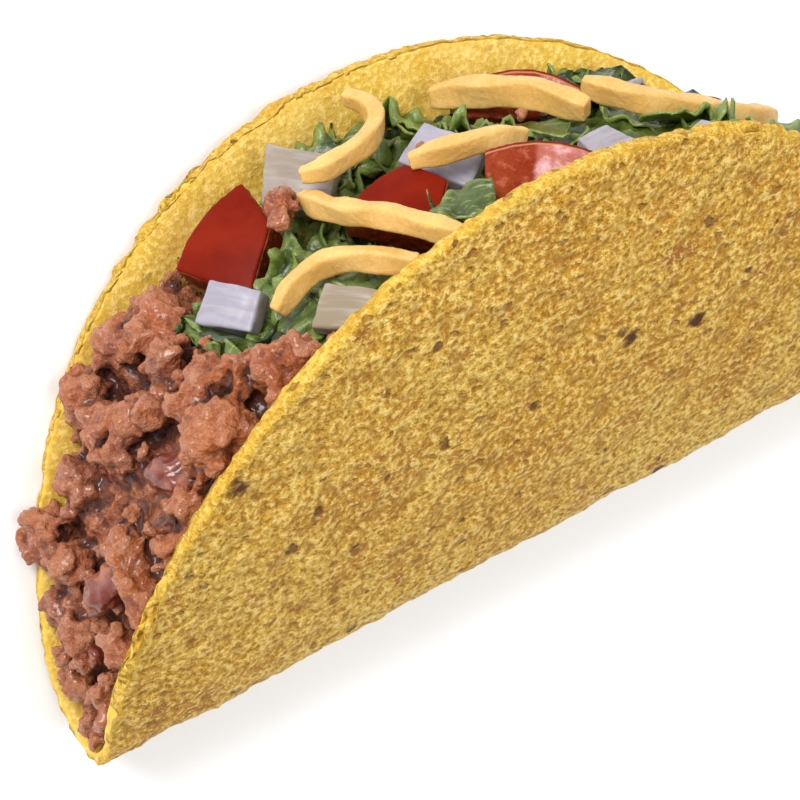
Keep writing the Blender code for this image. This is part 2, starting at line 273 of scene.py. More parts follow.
def normals_of(item):
    flat = np.empty(len(item.data.vertices) * 3)
    item.data.vertex_normals.foreach_get("vector", flat)
    return flat.reshape(-1, 3)


def mark(item, name, values):
    """Keeps a number or a place for each vertex, which a material can read."""
    values = np.asarray(values, np.float32)
    kind, field = ("FLOAT", "value") if values.ndim == 1 else ("FLOAT_VECTOR", "vector")
    item.data.attributes.new(name, kind, "POINT").data.foreach_set(field, values.ravel())


def mark_height(item, rounds, reach):
    """Marks how far a vertex stands above (1) or below (0) the smoothed surface."""
    places = places_of(item)
    ends = np.empty(len(item.data.edges) * 2, int)
    item.data.edges.foreach_get("vertices", ends)
    first, second = ends.reshape(-1, 2).T
    count = len(places)
    links = np.maximum(np.bincount(ends, minlength=count), 1)
    smooth = places.copy()
    for _ in range(rounds):
        total = [np.bincount(first, smooth[second, k], count) + np.bincount(second, smooth[first, k], count)
                 for k in range(3)]
        smooth = np.stack(total, 1) / links[:, None]
    above = ((places - smooth) * normals_of(item)).sum(1)
    mark(item, "height", np.clip(0.5 + above / (2 * reach), 0, 1))


# %% [markdown]
# ## Building materials
#
# Food has few flat colours: a crust is mottled, speckled and rough all at once. The same
# three effects serve every material here, so each is a node group with its own values in
# each material: **mottle** blends two colours in patches, **specks** gives a mask of
# scattered irregular spots, and **crumb** gives a height for the finest relief.

# %% Node helpers
def plug(tree, value, socket):
    """Links a value that is a socket, and sets one that is a number or a colour."""
    if isinstance(value, bpy.types.NodeSocket):
        tree.links.new(value, socket)
    elif isinstance(value, tuple) and len(value) == 3 and socket.type == "RGBA":
        socket.default_value = (*value, 1)
    else:
        socket.default_value = value


def add_node(tree, kind, inputs=(), **settings):
    """Adds a node, with its inputs given by name or number."""
    node = tree.nodes.new(kind)
    for name, value in settings.items():
        setattr(node, name, value)
    for name, value in dict(inputs).items():
        plug(tree, value, node.inputs[name])
    return node


def mix(tree, share, first, second, blend="MIX"):
    return add_node(tree, "ShaderNodeMix", {0: share, 6: first, 7: second},
                    data_type="RGBA", blend_type=blend).outputs[2]


def combine(tree, operation, first, second):
    return add_node(tree, "ShaderNodeMath", {0: first, 1: second}, operation=operation).outputs[0]


def between(tree, value, low, high, start=0.0, end=1.0):
    """A smooth step from start to end while value goes from low to high."""
    return add_node(tree, "ShaderNodeMapRange", {0: value, 1: low, 2: high, 3: start, 4: end},
                    interpolation_type="SMOOTHSTEP").outputs[0]


def noise_at(tree, place, scale, detail=3.0, roughness=0.55, distortion=0.0):
    return add_node(tree, "ShaderNodeTexNoise", {"Vector": place, "Scale": scale, "Detail": detail,
                    "Roughness": roughness, "Distortion": distortion}).outputs[0]


def attribute(tree, name, output="Fac"):
    return add_node(tree, "ShaderNodeAttribute", attribute_name=name).outputs[output]


def stretched(tree, place, scale):
    return add_node(tree, "ShaderNodeMapping", {"Vector": place, "Scale": scale}).outputs[0]


# %% The three shared effects
def start_group(name, inputs, outputs):
    """A node group with its sockets."""
    group = bpy.data.node_groups.new(name, "ShaderNodeTree")
    for direction, sockets in (("INPUT", inputs), ("OUTPUT", outputs)):
        for label, kind, value in sockets:
            socket = group.interface.new_socket(label, in_out=direction, socket_type="NodeSocket" + kind)
            if value is not None:
                socket.default_value = value
    return group, group.nodes.new("NodeGroupInput"), group.nodes.new("NodeGroupOutput")


def make_mottle():
    group, given, result = start_group("mottle", (
        ("Place", "Vector", None), ("First", "Color", None), ("Second", "Color", None),
        ("Scale", "Float", 100.0), ("From", "Float", 0.4), ("To", "Float", 0.6)),
        (("Color", "Color", None), ("Mask", "Float", None)))
    patches = noise_at(group, given.outputs["Place"], given.outputs["Scale"], 5.0, 0.6, 0.3)
    mask = between(group, patches, given.outputs["From"], given.outputs["To"])
    group.links.new(mask, result.inputs["Mask"])
    blend = mix(group, mask, given.outputs["First"], given.outputs["Second"])
    group.links.new(blend, result.inputs["Color"])
    return group


SPECK_WOBBLE = 1.6 * MM             # how far the outline of a speck strays


def make_specks():
    group, given, result = start_group("specks", (
        ("Place", "Vector", None), ("Scale", "Float", 100.0), ("Size", "Float", 0.1),
        ("Share", "Float", 0.5)), (("Mask", "Float", None),))
    place, scale = given.outputs["Place"], given.outputs["Scale"]
    wobble = add_node(group, "ShaderNodeTexNoise", {"Vector": place, "Scale": 900.0, "Detail": 1.0})
    wobble = add_node(group, "ShaderNodeVectorMath", {0: wobble.outputs["Color"], 3: SPECK_WOBBLE},
                      operation="SCALE")
    moved = add_node(group, "ShaderNodeVectorMath", {0: place, 1: wobble.outputs[0]}, operation="ADD")
    place = moved.outputs[0]
    cells = add_node(group, "ShaderNodeTexVoronoi", {"Vector": place, "Scale": scale})
    parts = add_node(group, "ShaderNodeSeparateColor", {0: cells.outputs["Color"]})
    size = combine(group, "MULTIPLY", given.outputs["Size"], parts.outputs[0])
    spot = combine(group, "LESS_THAN", parts.outputs[1], given.outputs["Share"])
    inner = combine(group, "MULTIPLY", size, 0.5)
    near = between(group, cells.outputs["Distance"], inner, size, 1.0, 0.0)
    group.links.new(combine(group, "MULTIPLY", near, spot), result.inputs["Mask"])
    return group


def make_crumb():
    group, given, result = start_group("crumb", (
        ("Place", "Vector", None), ("Scale", "Float", 800.0)), (("Height", "Float", None),))
    place, scale = given.outputs["Place"], given.outputs["Scale"]
    coarse = noise_at(group, place, scale, 2.0, 0.5)
    fine = noise_at(group, place, combine(group, "MULTIPLY", scale, 2.7), 3.0, 0.6, 0.0)
    group.links.new(combine(group, "ADD", combine(group, "MULTIPLY", coarse, 0.65),
                            combine(group, "MULTIPLY", fine, 0.35)), result.inputs["Height"])
    return group


MOTTLE, SPECKS, CRUMB = make_mottle(), make_specks(), make_crumb()


def use(tree, group, output, **inputs):
    """Places a shared effect in a material."""
    node = add_node(tree, "ShaderNodeGroup", node_tree=group)
    for name, value in inputs.items():
        plug(tree, value, node.inputs[name])
    return node.outputs[output]


def start_material(name, **sockets):
    """A material with its Principled shader, its tree and the place of each point."""
    material = bpy.data.materials.new(name)
    material.use_nodes = True
    tree = material.node_tree
    shader = tree.nodes["Principled BSDF"]
    for socket, value in sockets.items():
        plug(tree, value, shader.inputs[socket.replace("_", " ")])
    return material, tree, shader, add_node(tree, "ShaderNodeTexCoord").outputs["Object"]


def finish_material(tree, shader, colour, roughness, height, depth):
    """Colour, roughness and fine relief go into the shader."""
    plug(tree, colour, shader.inputs["Base Color"])
    plug(tree, roughness, shader.inputs["Roughness"])
    bump = add_node(tree, "ShaderNodeBump", {"Height": height, "Distance": depth, "Strength": 1.0})
    tree.links.new(bump.outputs[0], shader.inputs["Normal"])


# %% The floor's material
def make_floor_material():
    material, tree, shader, place = start_material("pale studio floor")
    shade = use(tree, MOTTLE, "Color", Place=place, Scale=6.0, First=(0.90, 0.90, 0.90),
                Second=(0.93, 0.93, 0.93))
    grain = use(tree, CRUMB, "Height", Place=place, Scale=300.0)
    finish_material(tree, shader, shade, 0.9, grain, 0.00005)
    return material


floor.data.materials.append(make_floor_material())

# %% [markdown]
# ## The corn shell
#
# A shell is made from a disc of masa, fried bent over a bar. It could be lofted row by
# row, but folding a real flat disc keeps its rim round and its wall even, so that is what
# is done: a circle is filled with a grid, turned up line after line from the rim to the
# fold, and only then given its thickness. The rim is jogged before that, because a cut
# sheet of masa never has a clean edge, and blisters and grain are pushed in last.

# %% The flat disc
SHEET_SIDE = 26                     # faces along one side of the grid before it is refined
SHEET_CUTS = 3
RIM_JOG = 0.22 * MM


def flat_disc():
    """A round sheet of masa, in edit mode."""
    bpy.ops.object.select_all(action="DESELECT")
    bpy.ops.mesh.primitive_circle_add(vertices=4 * SHEET_SIDE, radius=1)
    sheet = bpy.context.object
    sheet.name = sheet.data.name = "corn_shell"
    bpy.ops.object.mode_set(mode="EDIT")
    bpy.ops.mesh.select_all(action="SELECT")
    bpy.ops.mesh.fill_grid(span=SHEET_SIDE)
    bpy.ops.mesh.select_all(action="SELECT")
    bpy.ops.mesh.subdivide(number_cuts=SHEET_CUTS)
    bpy.ops.transform.resize(value=(HALF_LENGTH, HALF_ARC, 1))
    bpy.ops.mesh.select_all(action="DESELECT")
    bpy.ops.mesh.select_mode(type="VERT")
    bpy.ops.mesh.select_non_manifold()
    bpy.ops.transform.vertex_random(offset=RIM_JOG, uniform=1, seed=4)
    bpy.ops.object.mode_set(mode="OBJECT")
    places = places_of(sheet) / (HALF_LENGTH, HALF_ARC, 1)
    mark(sheet, "from_rim", (1 - np.hypot(places[:, 0], places[:, 1])) * HALF_ARC / MM)
    return sheet


sheet = flat_disc()
print("flat disc:", len(sheet.data.polygons), "faces")


# %% Folding it
FOLD_STEPS = 14
WALL_STEP = 3 * MM


def crease_lines(flat_strip):
    """Arc length and angle of each small bend, from the rim to the fold."""
    fold_end = FOLD_RADIUS * FOLD_ANGLE
    lines = [(fold_end * (i + 0.5) / FOLD_STEPS, FOLD_ANGLE / FOLD_STEPS) for i in range(FOLD_STEPS)]
    steps = round((HALF_ARC - fold_end) / WALL_STEP)
    width = (HALF_ARC - fold_end) / steps
    lines += [(fold_end + width * (i + 0.5), WALL_CURVE * width) for i in range(steps)]
    if flat_strip:
        low, high = REST_STRIP
        lines = [line for line in lines if not low < line[0] < high]
        lines += [(low, WALL_CURVE * (high - low) / 2), (high, WALL_CURVE * (high - low) / 2)]
    return sorted(lines, reverse=True)


def turn_up(sheet, side):
    """Turns one side of the disc up, line after line. What is past a line stays selected."""
    select_only(sheet)
    bpy.ops.object.mode_set(mode="EDIT")
    bpy.ops.mesh.select_all(action="DESELECT")
    for arc, angle in crease_lines(side > 0):
        mesh = bmesh.from_edit_mesh(sheet.data)
        for vert in mesh.verts:
            if side * vert.co.y > arc:
                vert.select_set(True)
        mesh.select_flush_mode()
        bpy.ops.transform.rotate(value=-side * angle, orient_axis="X", center_override=(0, side * arc, 0))
    bpy.ops.object.mode_set(mode="OBJECT")


for side in (1, -1):
    turn_up(sheet, side)
rim_height = places_of(sheet)[:, 2].max()
print("rim is", round(rim_height / MM, 1), "mm up")
print("the sheet's own sums say", round(wall_point(0, HALF_ARC).z / MM, 1))


# %% Wall, rim and relief
RIM_CUTS = 3


def round_rim(sheet):
    """Cuts the flat rim into rows and smooths them, so that the broken edge is worn round."""
    select_only(sheet)
    bpy.ops.object.mode_set(mode="EDIT")
    bpy.ops.mesh.select_mode(type="EDGE")
    bpy.ops.mesh.select_all(action="DESELECT")
    mesh = bmesh.from_edit_mesh(sheet.data)
    distance = mesh.verts.layers.float["from_rim"]
    for edge in mesh.edges:
        on_rim = all(vert[distance] < 0.05 for vert in edge.verts)
        edge.select_set(on_rim and edge.calc_length() > 0.7 * WALL)
    bpy.ops.mesh.subdivide(number_cuts=RIM_CUTS)
    bpy.ops.mesh.select_mode(type="VERT")
    bpy.ops.mesh.select_all(action="DESELECT")
    mesh = bmesh.from_edit_mesh(sheet.data)
    distance = mesh.verts.layers.float["from_rim"]
    for vert in mesh.verts:
        vert.select_set(vert[distance] < 2.2)
    mesh.select_flush_mode()
    bpy.ops.mesh.vertices_smooth(factor=0.5, repeat=2)
    bpy.ops.object.mode_set(mode="OBJECT")


def rest_on_floor(item):
    """Flattens what would go below the floor once the taco lies down."""
    turn, shift = np.array(LAY.to_3x3()), np.array(LAY.translation)
    lying = places_of(item) @ turn.T + shift
    lying[:, 2] = np.maximum(lying[:, 2], 0)
    item.data.vertices.foreach_set("co", ((lying - shift) @ turn).ravel())
    item.data.update()


def finish_shell(sheet):
    """Gives the folded sheet its wall, its worn rim, its blisters and its grain."""
    apply_modifier(sheet, "SUBSURF", levels=1, render_levels=1)
    apply_modifier(sheet, "SOLIDIFY", thickness=WALL, offset=0, use_quality_normals=True)
    round_rim(sheet)
    places, normals = places_of(sheet), normals_of(sheet)
    outside = places[:, 1] * normals[:, 1] + (places[:, 2] - 30 * MM) * normals[:, 2] > 0
    mark(sheet, "outside", outside.astype(float))
    from_rim = np.empty(len(places), np.float32)
    sheet.data.attributes["from_rim"].data.foreach_get("value", from_rim)
    rough = sheet.vertex_groups.new(name="rough side")
    for i, (outer, distance) in enumerate(zip(outside, from_rim)):
        rough.add([i], float((1.0 if outer else 0.10) * min(0.4 + distance / 3, 1)), "REPLACE")
    relief(sheet, 14 * MM, 0.9 * MM)
    relief(sheet, 4.0 * MM, 0.70 * MM, group="rough side")
    relief(sheet, 1.5 * MM, 0.75 * MM, group="rough side", noise_basis="IMPROVED_PERLIN")
    rest_on_floor(sheet)
    mark_height(sheet, 12, 0.20 * MM)
    sheet.data.shade_smooth()


finish_shell(sheet)
print("shell:", triangles(sheet), "triangles")

# %% [markdown]
# The finish of the shell is where it reads as fried corn: a golden ground with toasted
# patches, a crumbly grain pulled a little along the fold, small dark scorched pits, and a
# brighter, rawer yellow on the broken rim. The inside is smoother and paler.

# %% Fried corn
def make_corn_material():
    material, tree, shader, place = start_material("fried corn", Specular_IOR_Level=0.2)
    pulled = stretched(tree, place, (0.75, 1.0, 1.0))
    height = attribute(tree, "height")
    outside = attribute(tree, "outside")
    golden = use(tree, MOTTLE, "Color", Place=place, Scale=42.0, First=(0.66, 0.35, 0.036),
                 Second=(0.74, 0.46, 0.075), From=0.38, To=0.62)
    inside = use(tree, MOTTLE, "Color", Place=place, Scale=90.0, First=(0.76, 0.48, 0.06),
                 Second=(0.82, 0.56, 0.12), From=0.35, To=0.65)
    base = mix(tree, outside, inside, golden)
    toast = use(tree, MOTTLE, "Mask", Place=pulled, Scale=75.0, From=0.50, To=0.70)
    toast = combine(tree, "MULTIPLY", toast, between(tree, outside, 0, 1, 0.12, 0.75))
    base = mix(tree, toast, base, (0.55, 0.24, 0.022))
    scorch = use(tree, MOTTLE, "Mask", Place=pulled, Scale=210.0, From=0.58, To=0.70)
    base = mix(tree, combine(tree, "MULTIPLY", scorch, outside), base, (0.42, 0.15, 0.02))
    grain = use(tree, CRUMB, "Height", Place=place, Scale=1250.0)
    # Partly the corn's own grainy colour, partly painted light: darker where the grain is low, as painted
    # shade in its hollows, and lighter yellow where it is high, as painted highlights on its tops.
    dark = combine(tree, "MULTIPLY", between(tree, grain, 0.36, 0.51, 0.9, 0.0),
                   between(tree, outside, 0, 1, 0.25, 1.0))
    base = mix(tree, dark, base, (0.34, 0.15, 0.018))
    base = mix(tree, between(tree, grain, 0.50, 0.60, 0.0, 0.75), base, (1.0, 0.74, 0.24))
    # Painted shade: darker where the shell lies below its smoothed shape, in the hollows of the relief.
    base = mix(tree, between(tree, height, 0.15, 0.5, 0.5, 0.0), base, (0.40, 0.18, 0.020))
    rim = between(tree, attribute(tree, "from_rim"), 0.0, 1.4, 0.45, 0.0)
    base = mix(tree, rim, base, (0.80, 0.50, 0.05))
    pores = use(tree, SPECKS, "Mask", Place=pulled, Scale=430.0, Size=0.40, Share=0.6)
    small = use(tree, SPECKS, "Mask", Place=place, Scale=220.0, Size=0.26, Share=0.40)
    large = use(tree, SPECKS, "Mask", Place=place, Scale=85.0, Size=0.19, Share=0.6)
    pits = combine(tree, "MAXIMUM", combine(tree, "MULTIPLY", small, 0.75), large)
    pits = combine(tree, "MULTIPLY", pits, between(tree, outside, 0, 1, 0.35, 1.0))
    pores = combine(tree, "MULTIPLY", pores, between(tree, outside, 0, 1, 0.25, 0.7))
    base = mix(tree, pores, base, (0.32, 0.13, 0.020))
    base = mix(tree, pits, base, (0.10, 0.026, 0.008))
    hollow = combine(tree, "MAXIMUM", combine(tree, "MULTIPLY", pores, 0.8),
                     combine(tree, "MULTIPLY", pits, 0.9))
    bumps = combine(tree, "SUBTRACT", grain, combine(tree, "MULTIPLY", hollow, 0.6))
    bumps = combine(tree, "MULTIPLY", bumps, between(tree, outside, 0, 1, 0.20, 1.0))
    finish_material(tree, shader, base, between(tree, grain, 0.3, 0.7, 0.65, 0.5), bumps, 0.0013)
    return material


corn = make_corn_material()
lay(sheet, corn, "corn_shell", "shell")

# %% [markdown]
# ## Where things lie in the mouth
#
# The filling is heaped between the walls. A place on it is given by how far round the rim
# it is, from the near end (0) to the far end (180 degrees), and how far it is from the
# front wall (-1) to the back wall (1). The beans dip under the lettuce.

# %% Places over the mouth
GAP = 0.3 * MM
RIM_INSET = 2.0 * MM
BEAN_DEPTH = 22 * MM


def step(value, start, end):
    share = min(max((value - start) / (end - start), 0), 1)
    return share * share * (3 - 2 * share)


def mouth_point(degrees, across, depth=0.0, lift=0.0):
    """A point over the mouth, sunk along the walls by depth and raised out by lift."""
    turn = math.radians(degrees)
    x = -(HALF_LENGTH - RIM_INSET) * math.cos(turn)
    arc = (HALF_ARC - RIM_INSET) * math.sin(turn) - depth
    front, rear = (wall_point(x, side * arc, WALL / 2 + GAP) for side in (-1, 1))
    return front.lerp(rear, (across + 1) / 2) + lift * outward(degrees)


def outward(degrees):
    """The direction out of the mouth."""
    turn = math.radians(degrees)
    return Vector((-math.cos(turn), 0, math.sin(turn)))


def bean_depth(degrees, across):
    """How deep the beans lie under the lettuce."""
    near = step(degrees, 50 + 10 * across ** 2, 70 + 6 * across ** 2)
    return near * (1 - step(degrees, 122, 146)) * BEAN_DEPTH


def lettuce_depth(degrees):
    """How far the lettuce lies below the level of the open beans."""
    return (6.5 * step(degrees, 50, 72) - 6.7 * step(degrees, 96, 124)) * MM


def lettuce_width(degrees):
    """Share of the mouth's width that the lettuce covers."""
    return 0.28 + 0.68 * step(degrees, 54, 70) * (1 - 0.3 * step(degrees, 138, 152))


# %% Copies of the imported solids
def solid_copy(node, name):
    """A merged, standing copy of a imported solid, to work on."""
    bpy.ops.object.select_all(action="DESELECT")
    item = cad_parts[node].copy()
    item.data = item.data.copy()
    item.parent = None
    item.hide_render = item.hide_viewport = False
    for key in list(item.keys()):
        del item[key]
    bpy.context.scene.collection.objects.link(item)
    item.name = item.data.name = name
    item.data.materials.clear()
    item.matrix_world = LAY.inverted()
    select_only(item)
    bpy.ops.object.transform_apply(location=True, rotation=True, scale=True)
    bpy.ops.object.mode_set(mode="EDIT")
    bpy.ops.mesh.select_all(action="SELECT")
    bpy.ops.mesh.remove_doubles(threshold=0.01 * MM)
    bpy.ops.object.mode_set(mode="OBJECT")
    return item


# %% [markdown]
# ## The beans
#
# Coarsely mashed beans aren't a paste: they are clods of a few millimetres, each of them
# a knot of smaller crumbs, with dark gaps between them. Sculpting them one by one would
# take days. Here a lump is modelled once, copies of it are heaped as clods over the
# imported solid, all is fused by a voxel remesh, and three patterns roughen the result.
# Large clods that stand out have a row each, and small ones fall where they like. The
# heap is cut in two under the lettuce, so that neither half has too many faces.

# %% Heaping the clods
LUMP_ROOM = 3.0 * MM                # between the middles of loose lumps
CORE_SINK = 2.4 * MM                # how far the core draws back under the clods
CLOD_REACH = 0.72                   # how far out a crumb sits on its clod, by its radius
LOOSE_CLODS = 0.4                   # share of the loose lumps that are clods
rng = random.Random(7)


def make_lump():
    """One lump: a small ball, dented so that no two sides are alike."""
    bpy.ops.object.select_all(action="DESELECT")
    bpy.ops.mesh.primitive_ico_sphere_add(subdivisions=3, radius=1)
    lump = bpy.context.object
    relief(lump, 0.9, 0.5)
    return lump


def copy_lump(lump, place, radius, squash=0.8):
    """A copy of the lump with its own mesh, turned by chance."""
    copy = lump.copy()
    copy.data = lump.data.copy()
    bpy.context.scene.collection.objects.link(copy)
    copy.location = place
    copy.rotation_euler = [rng.uniform(0, math.tau) for _ in range(3)]
    copy.scale = (radius, radius * rng.uniform(squash, 1), radius * rng.uniform(squash, 1))
    return copy


def clod(lump, place, radius, out):
    """A knot of crumbs round one larger lump."""
    made = [copy_lump(lump, place, 0.9 * radius, 0.7)]
    for _ in range(rng.randint(6, 10)):
        way = Vector([rng.gauss(0, 1) for _ in range(3)]).normalized() + 0.4 * out
        spot = place + radius * CLOD_REACH * way.normalized()
        made.append(copy_lump(lump, spot, radius * rng.uniform(0.25, 0.5)))
    return made


# Clods that stand out: how far round the rim, how far across, how high and how wide in
# mm, and the tone of their beans, from pink (0) to orange brown (1).
BIG_CLODS = (
    (52, 0.58, 0.8, 5.2, 0.2), (48, 0.78, 1.0, 4.8, 0.1), (55, 0.15, 0.4, 4.2, 0.3),
    (41, 0.90, 1.8, 4.2, 0.0), (39, 0.55, 1.4, 3.8, 0.0), (49, 0.12, 1.8, 3.8, 0.5),
    (45, 0.00, 1.4, 3.4, 0.5), (50, -0.28, 1.6, 3.6, 0.6), (53, -0.50, 1.0, 3.4, 0.8),
    (58, -0.82, 0.8, 3.6, 0.9), (55, -0.74, 1.2, 3.4, 0.9), (47, -0.72, 2.4, 5.6, 1.0),
    (48, -0.42, 2.2, 4.2, 0.9), (42, 0.24, 1.0, 3.4, 0.4), (38, 0.22, 1.0, 3.2, 0.3),
    (33, 0.65, 2.0, 4.0, 0.2), (31, -0.36, 2.2, 3.2, 0.9), (29, -0.64, 1.6, 3.2, 0.8),
    (25, 0.95, 2.4, 4.4, 0.0), (24, 0.50, 1.4, 4.0, 0.1), (35, -0.86, 0.8, 3.0, 0.6),
    (39, -0.80, 0.8, 3.0, 0.7), (17, 0.25, 1.2, 3.4, 0.3), (20, -0.60, 0.8, 3.4, 0.4),
    (10, 0.40, 0.8, 3.0, 0.3), (13, -0.55, 0.6, 3.0, 0.4), (5, 0.00, 0.4, 2.8, 0.4),
    (18, 0.72, 1.4, 3.6, 0.1), (26, -0.85, 0.6, 3.0, 0.6),
    (146, 0.10, 0.6, 4.2, 0.4), (150, 0.60, 0.8, 4.4, 0.2), (154, -0.50, 1.2, 4.4, 0.8),
    (158, 0.35, 1.6, 4.0, 0.5), (162, -0.10, 1.2, 3.8, 0.3), (166, -0.55, 1.0, 3.4, 0.7),
    (168, 0.45, 1.4, 3.4, 0.2), (173, 0.00, 0.6, 3.0, 0.4),
)
# Gaps between the clods where one sees deep into the beans.
GAPS = ((34, -0.12), (42, -0.30), (36, 0.02), (44, 0.52), (28, 0.20), (160, -0.40))


def loose_places():
    """Places for small lumps over the open beans, none too close to another."""
    found = []
    for degrees_low, degrees_high, count in ((4, 64, 1500), (140, 176, 800), (60, 142, 500)):
        for _ in range(count):
            degrees, across = rng.uniform(degrees_low, degrees_high), rng.uniform(-0.95, 0.95)
            if 60 < degrees < 142 and abs(across) < 0.82 or 50 < degrees < 74 and across > 0.45:
                continue
            lift = rng.uniform(-1.2, 1.2) * MM
            place = mouth_point(degrees, across, bean_depth(degrees, across), lift)
            in_gap = any(abs(degrees - d) < 4 and abs(across - a) < 0.2 for d, a in GAPS)
            if not in_gap and all((place - other).length > LUMP_ROOM for other, _ in found):
                found.append((place, degrees))
    return found


def heap_beans():
    lump = make_lump()
    made = []
    for degrees, across, lift, radius, _ in BIG_CLODS:
        place = mouth_point(degrees, across, bean_depth(degrees, across), (lift - 0.4 * radius) * MM)
        made += clod(lump, place, radius * MM, outward(degrees))
    for place, degrees in loose_places():
        radius = rng.uniform(0.9, 1.9) * MM
        if rng.random() < LOOSE_CLODS:
            made += clod(lump, place, radius, outward(degrees))
        else:
            made.append(copy_lump(lump, place, radius))
    bpy.data.objects.remove(lump)
    print(len(made), "lumps on the beans")
    core = solid_copy("beans", "core")
    apply_modifier(core, "REMESH", mode="VOXEL", voxel_size=2 * MM)
    apply_modifier(core, "DISPLACE", strength=-CORE_SINK, mid_level=0)
    return join("beans_mash", [core] + made)


# %% Fusing them
BEAN_VOXEL = 0.42 * MM


def inner_width(height):
    """Half the room between the walls at a height, for many heights at once."""
    inside = [wall_point(0, HALF_ARC * i / 200, WALL / 2 + 0.1 * MM) for i in range(201)]
    return np.interp(height, [p.z for p in inside], [p.y for p in inside])


def rim_level(x):
    """Height of the rim above each place along the fold."""
    arcs = HALF_ARC * np.sqrt(np.clip(1 - (x / HALF_LENGTH) ** 2, 0, 1))
    table = [wall_curve(HALF_ARC * i / 200)[1] for i in range(201)]
    return np.interp(arcs, np.linspace(0, HALF_ARC, 201), table)


def press_between_walls(item):
    """Flattens what would go through a wall against its inner side."""
    places = places_of(item)
    x, y, z = places.T
    room = inner_width(z)
    below = np.clip((rim_level(x) + 0.6 * MM - z) / (0.8 * MM), 0, 1)
    over = np.maximum(np.abs(y) - room, 0) * below
    places[:, 1] = y - np.sign(y) * over
    item.data.vertices.foreach_set("co", places.ravel())
    item.data.update()


def mark_tone(beans):
    """Keeps the tone of the nearest large clods at each vertex."""
    middles = np.array([mouth_point(row[0], row[1], bean_depth(row[0], row[1])) for row in BIG_CLODS])
    tones = np.array([row[4] for row in BIG_CLODS])
    away = np.linalg.norm(places_of(beans)[:, None] - middles[None], axis=2) / MM
    weights = 1 / (away ** 4 + 1)
    mark(beans, "tone", (weights * tones).sum(1) / weights.sum(1))


def halve(item, side, name):
    """A copy of one end of a heap, cut off in the middle where the lettuce hides the cut."""
    half = item.copy()
    half.data = item.data.copy()
    half.name = half.data.name = name
    bpy.context.scene.collection.objects.link(half)
    select_only(half)
    bpy.ops.object.mode_set(mode="EDIT")
    cut((0, 0, 0), (side, 0, 0))
    bpy.ops.object.mode_set(mode="OBJECT")
    return half


def fuse_beans(beans):
    """Fuses the lumps and roughens them, first as round crumbs and then as grains."""
    apply_modifier(beans, "REMESH", mode="VOXEL", voxel_size=BEAN_VOXEL)
    relief(beans, 1.9 * MM, -1.0 * MM, noise_basis="VORONOI_F1", depth=0, middle=0.4)
    relief(beans, 1.1 * MM, -0.55 * MM, noise_basis="VORONOI_F1", depth=0, middle=0.4)
    relief(beans, 1.0 * MM, 0.8 * MM, noise_basis="IMPROVED_PERLIN")
    press_between_walls(beans)
    rest_on_floor(beans)
    mark_height(beans, 60, 0.9 * MM)
    mark_tone(beans)
    beans.data.shade_smooth()


heap = heap_beans()
apply_modifier(heap, "REMESH", mode="VOXEL", voxel_size=0.8 * BEAN_VOXEL)
bean_halves = [halve(heap, 1, "beans_near_end"), halve(heap, -1, "beans_far_end")]
bpy.data.objects.remove(heap)
for half in bean_halves:
    fuse_beans(half)


# %% Mashed beans
def make_bean_material():
    material, tree, shader, place = start_material(
        "mashed beans", Coat_Roughness=0.2, Specular_IOR_Level=0.35)
    height = attribute(tree, "height")
    pink = use(tree, MOTTLE, "Color", Place=place, Scale=95.0, First=(0.41, 0.104, 0.032),
               Second=(0.41, 0.122, 0.054), From=0.40, To=0.60)
    brown = use(tree, MOTTLE, "Color", Place=place, Scale=95.0, First=(0.32, 0.064, 0.009),
                Second=(0.39, 0.098, 0.015), From=0.40, To=0.60)
    shift = combine(tree, "SUBTRACT", noise_at(tree, place, 170.0), 0.5)
    tone = combine(tree, "ADD", attribute(tree, "tone"), combine(tree, "MULTIPLY", shift, 1.6))
    base = mix(tree, between(tree, tone, 0.2, 1.0), pink, brown)
    skins = use(tree, MOTTLE, "Mask", Place=place, Scale=130.0, From=0.56, To=0.62)
    base = mix(tree, combine(tree, "MULTIPLY", skins, 0.7), base, (0.22, 0.045, 0.020))
    grain = use(tree, CRUMB, "Height", Place=place, Scale=1700.0)
    # Painted light and shade on the fine grains: lighter on their tops as small highlights, darker in their
    # hollows as shade.
    base = mix(tree, between(tree, grain, 0.5, 0.62, 0.0, 0.45), base, (0.64, 0.30, 0.145))
    base = mix(tree, between(tree, grain, 0.38, 0.5, 0.45, 0.0), base, (0.24, 0.070, 0.030))
    # Painted light and shade: lighter on the tops of the clods, and much darker where the mash lies below
    # its smoothed shape, as shade in the gaps between the clods.
    base = mix(tree, between(tree, height, 0.58, 0.95, 0.0, 0.4), base, (0.56, 0.24, 0.120))
    base = mix(tree, between(tree, height, 0.14, 0.60, 0.97, 0.0), base, (0.065, 0.012, 0.005))
    moist = between(tree, noise_at(tree, place, 300.0), 0.42, 0.60, 0.15, 0.75)
    plug(tree, moist, shader.inputs["Coat Weight"])
    finish_material(tree, shader, base, between(tree, grain, 0.35, 0.65, 0.60, 0.42), grain, 0.0009)
    return material


bean = make_bean_material()
for half in bean_halves:
    lay(half, bean, "beans", "beans")

# %% [markdown]
# Here and there a whole bean skin shows: a thin dark red hull, smooth and glossy where the
# mash is dull. A squashed ball with a few folds is enough, half sunk into the beans.

# %% Bean skins
# Each row: how far round the rim, how far across, how high and how long in mm.
HULLS = (
    (25, -0.22, 0.6, 4.8), (41, -0.50, -0.2, 4.8), (36, 0.40, -0.9, 3.0),
    (15, 0.05, -0.2, 3.0), (153, 0.10, 0.4, 3.6), (164, 0.40, -0.2, 3.2),
)


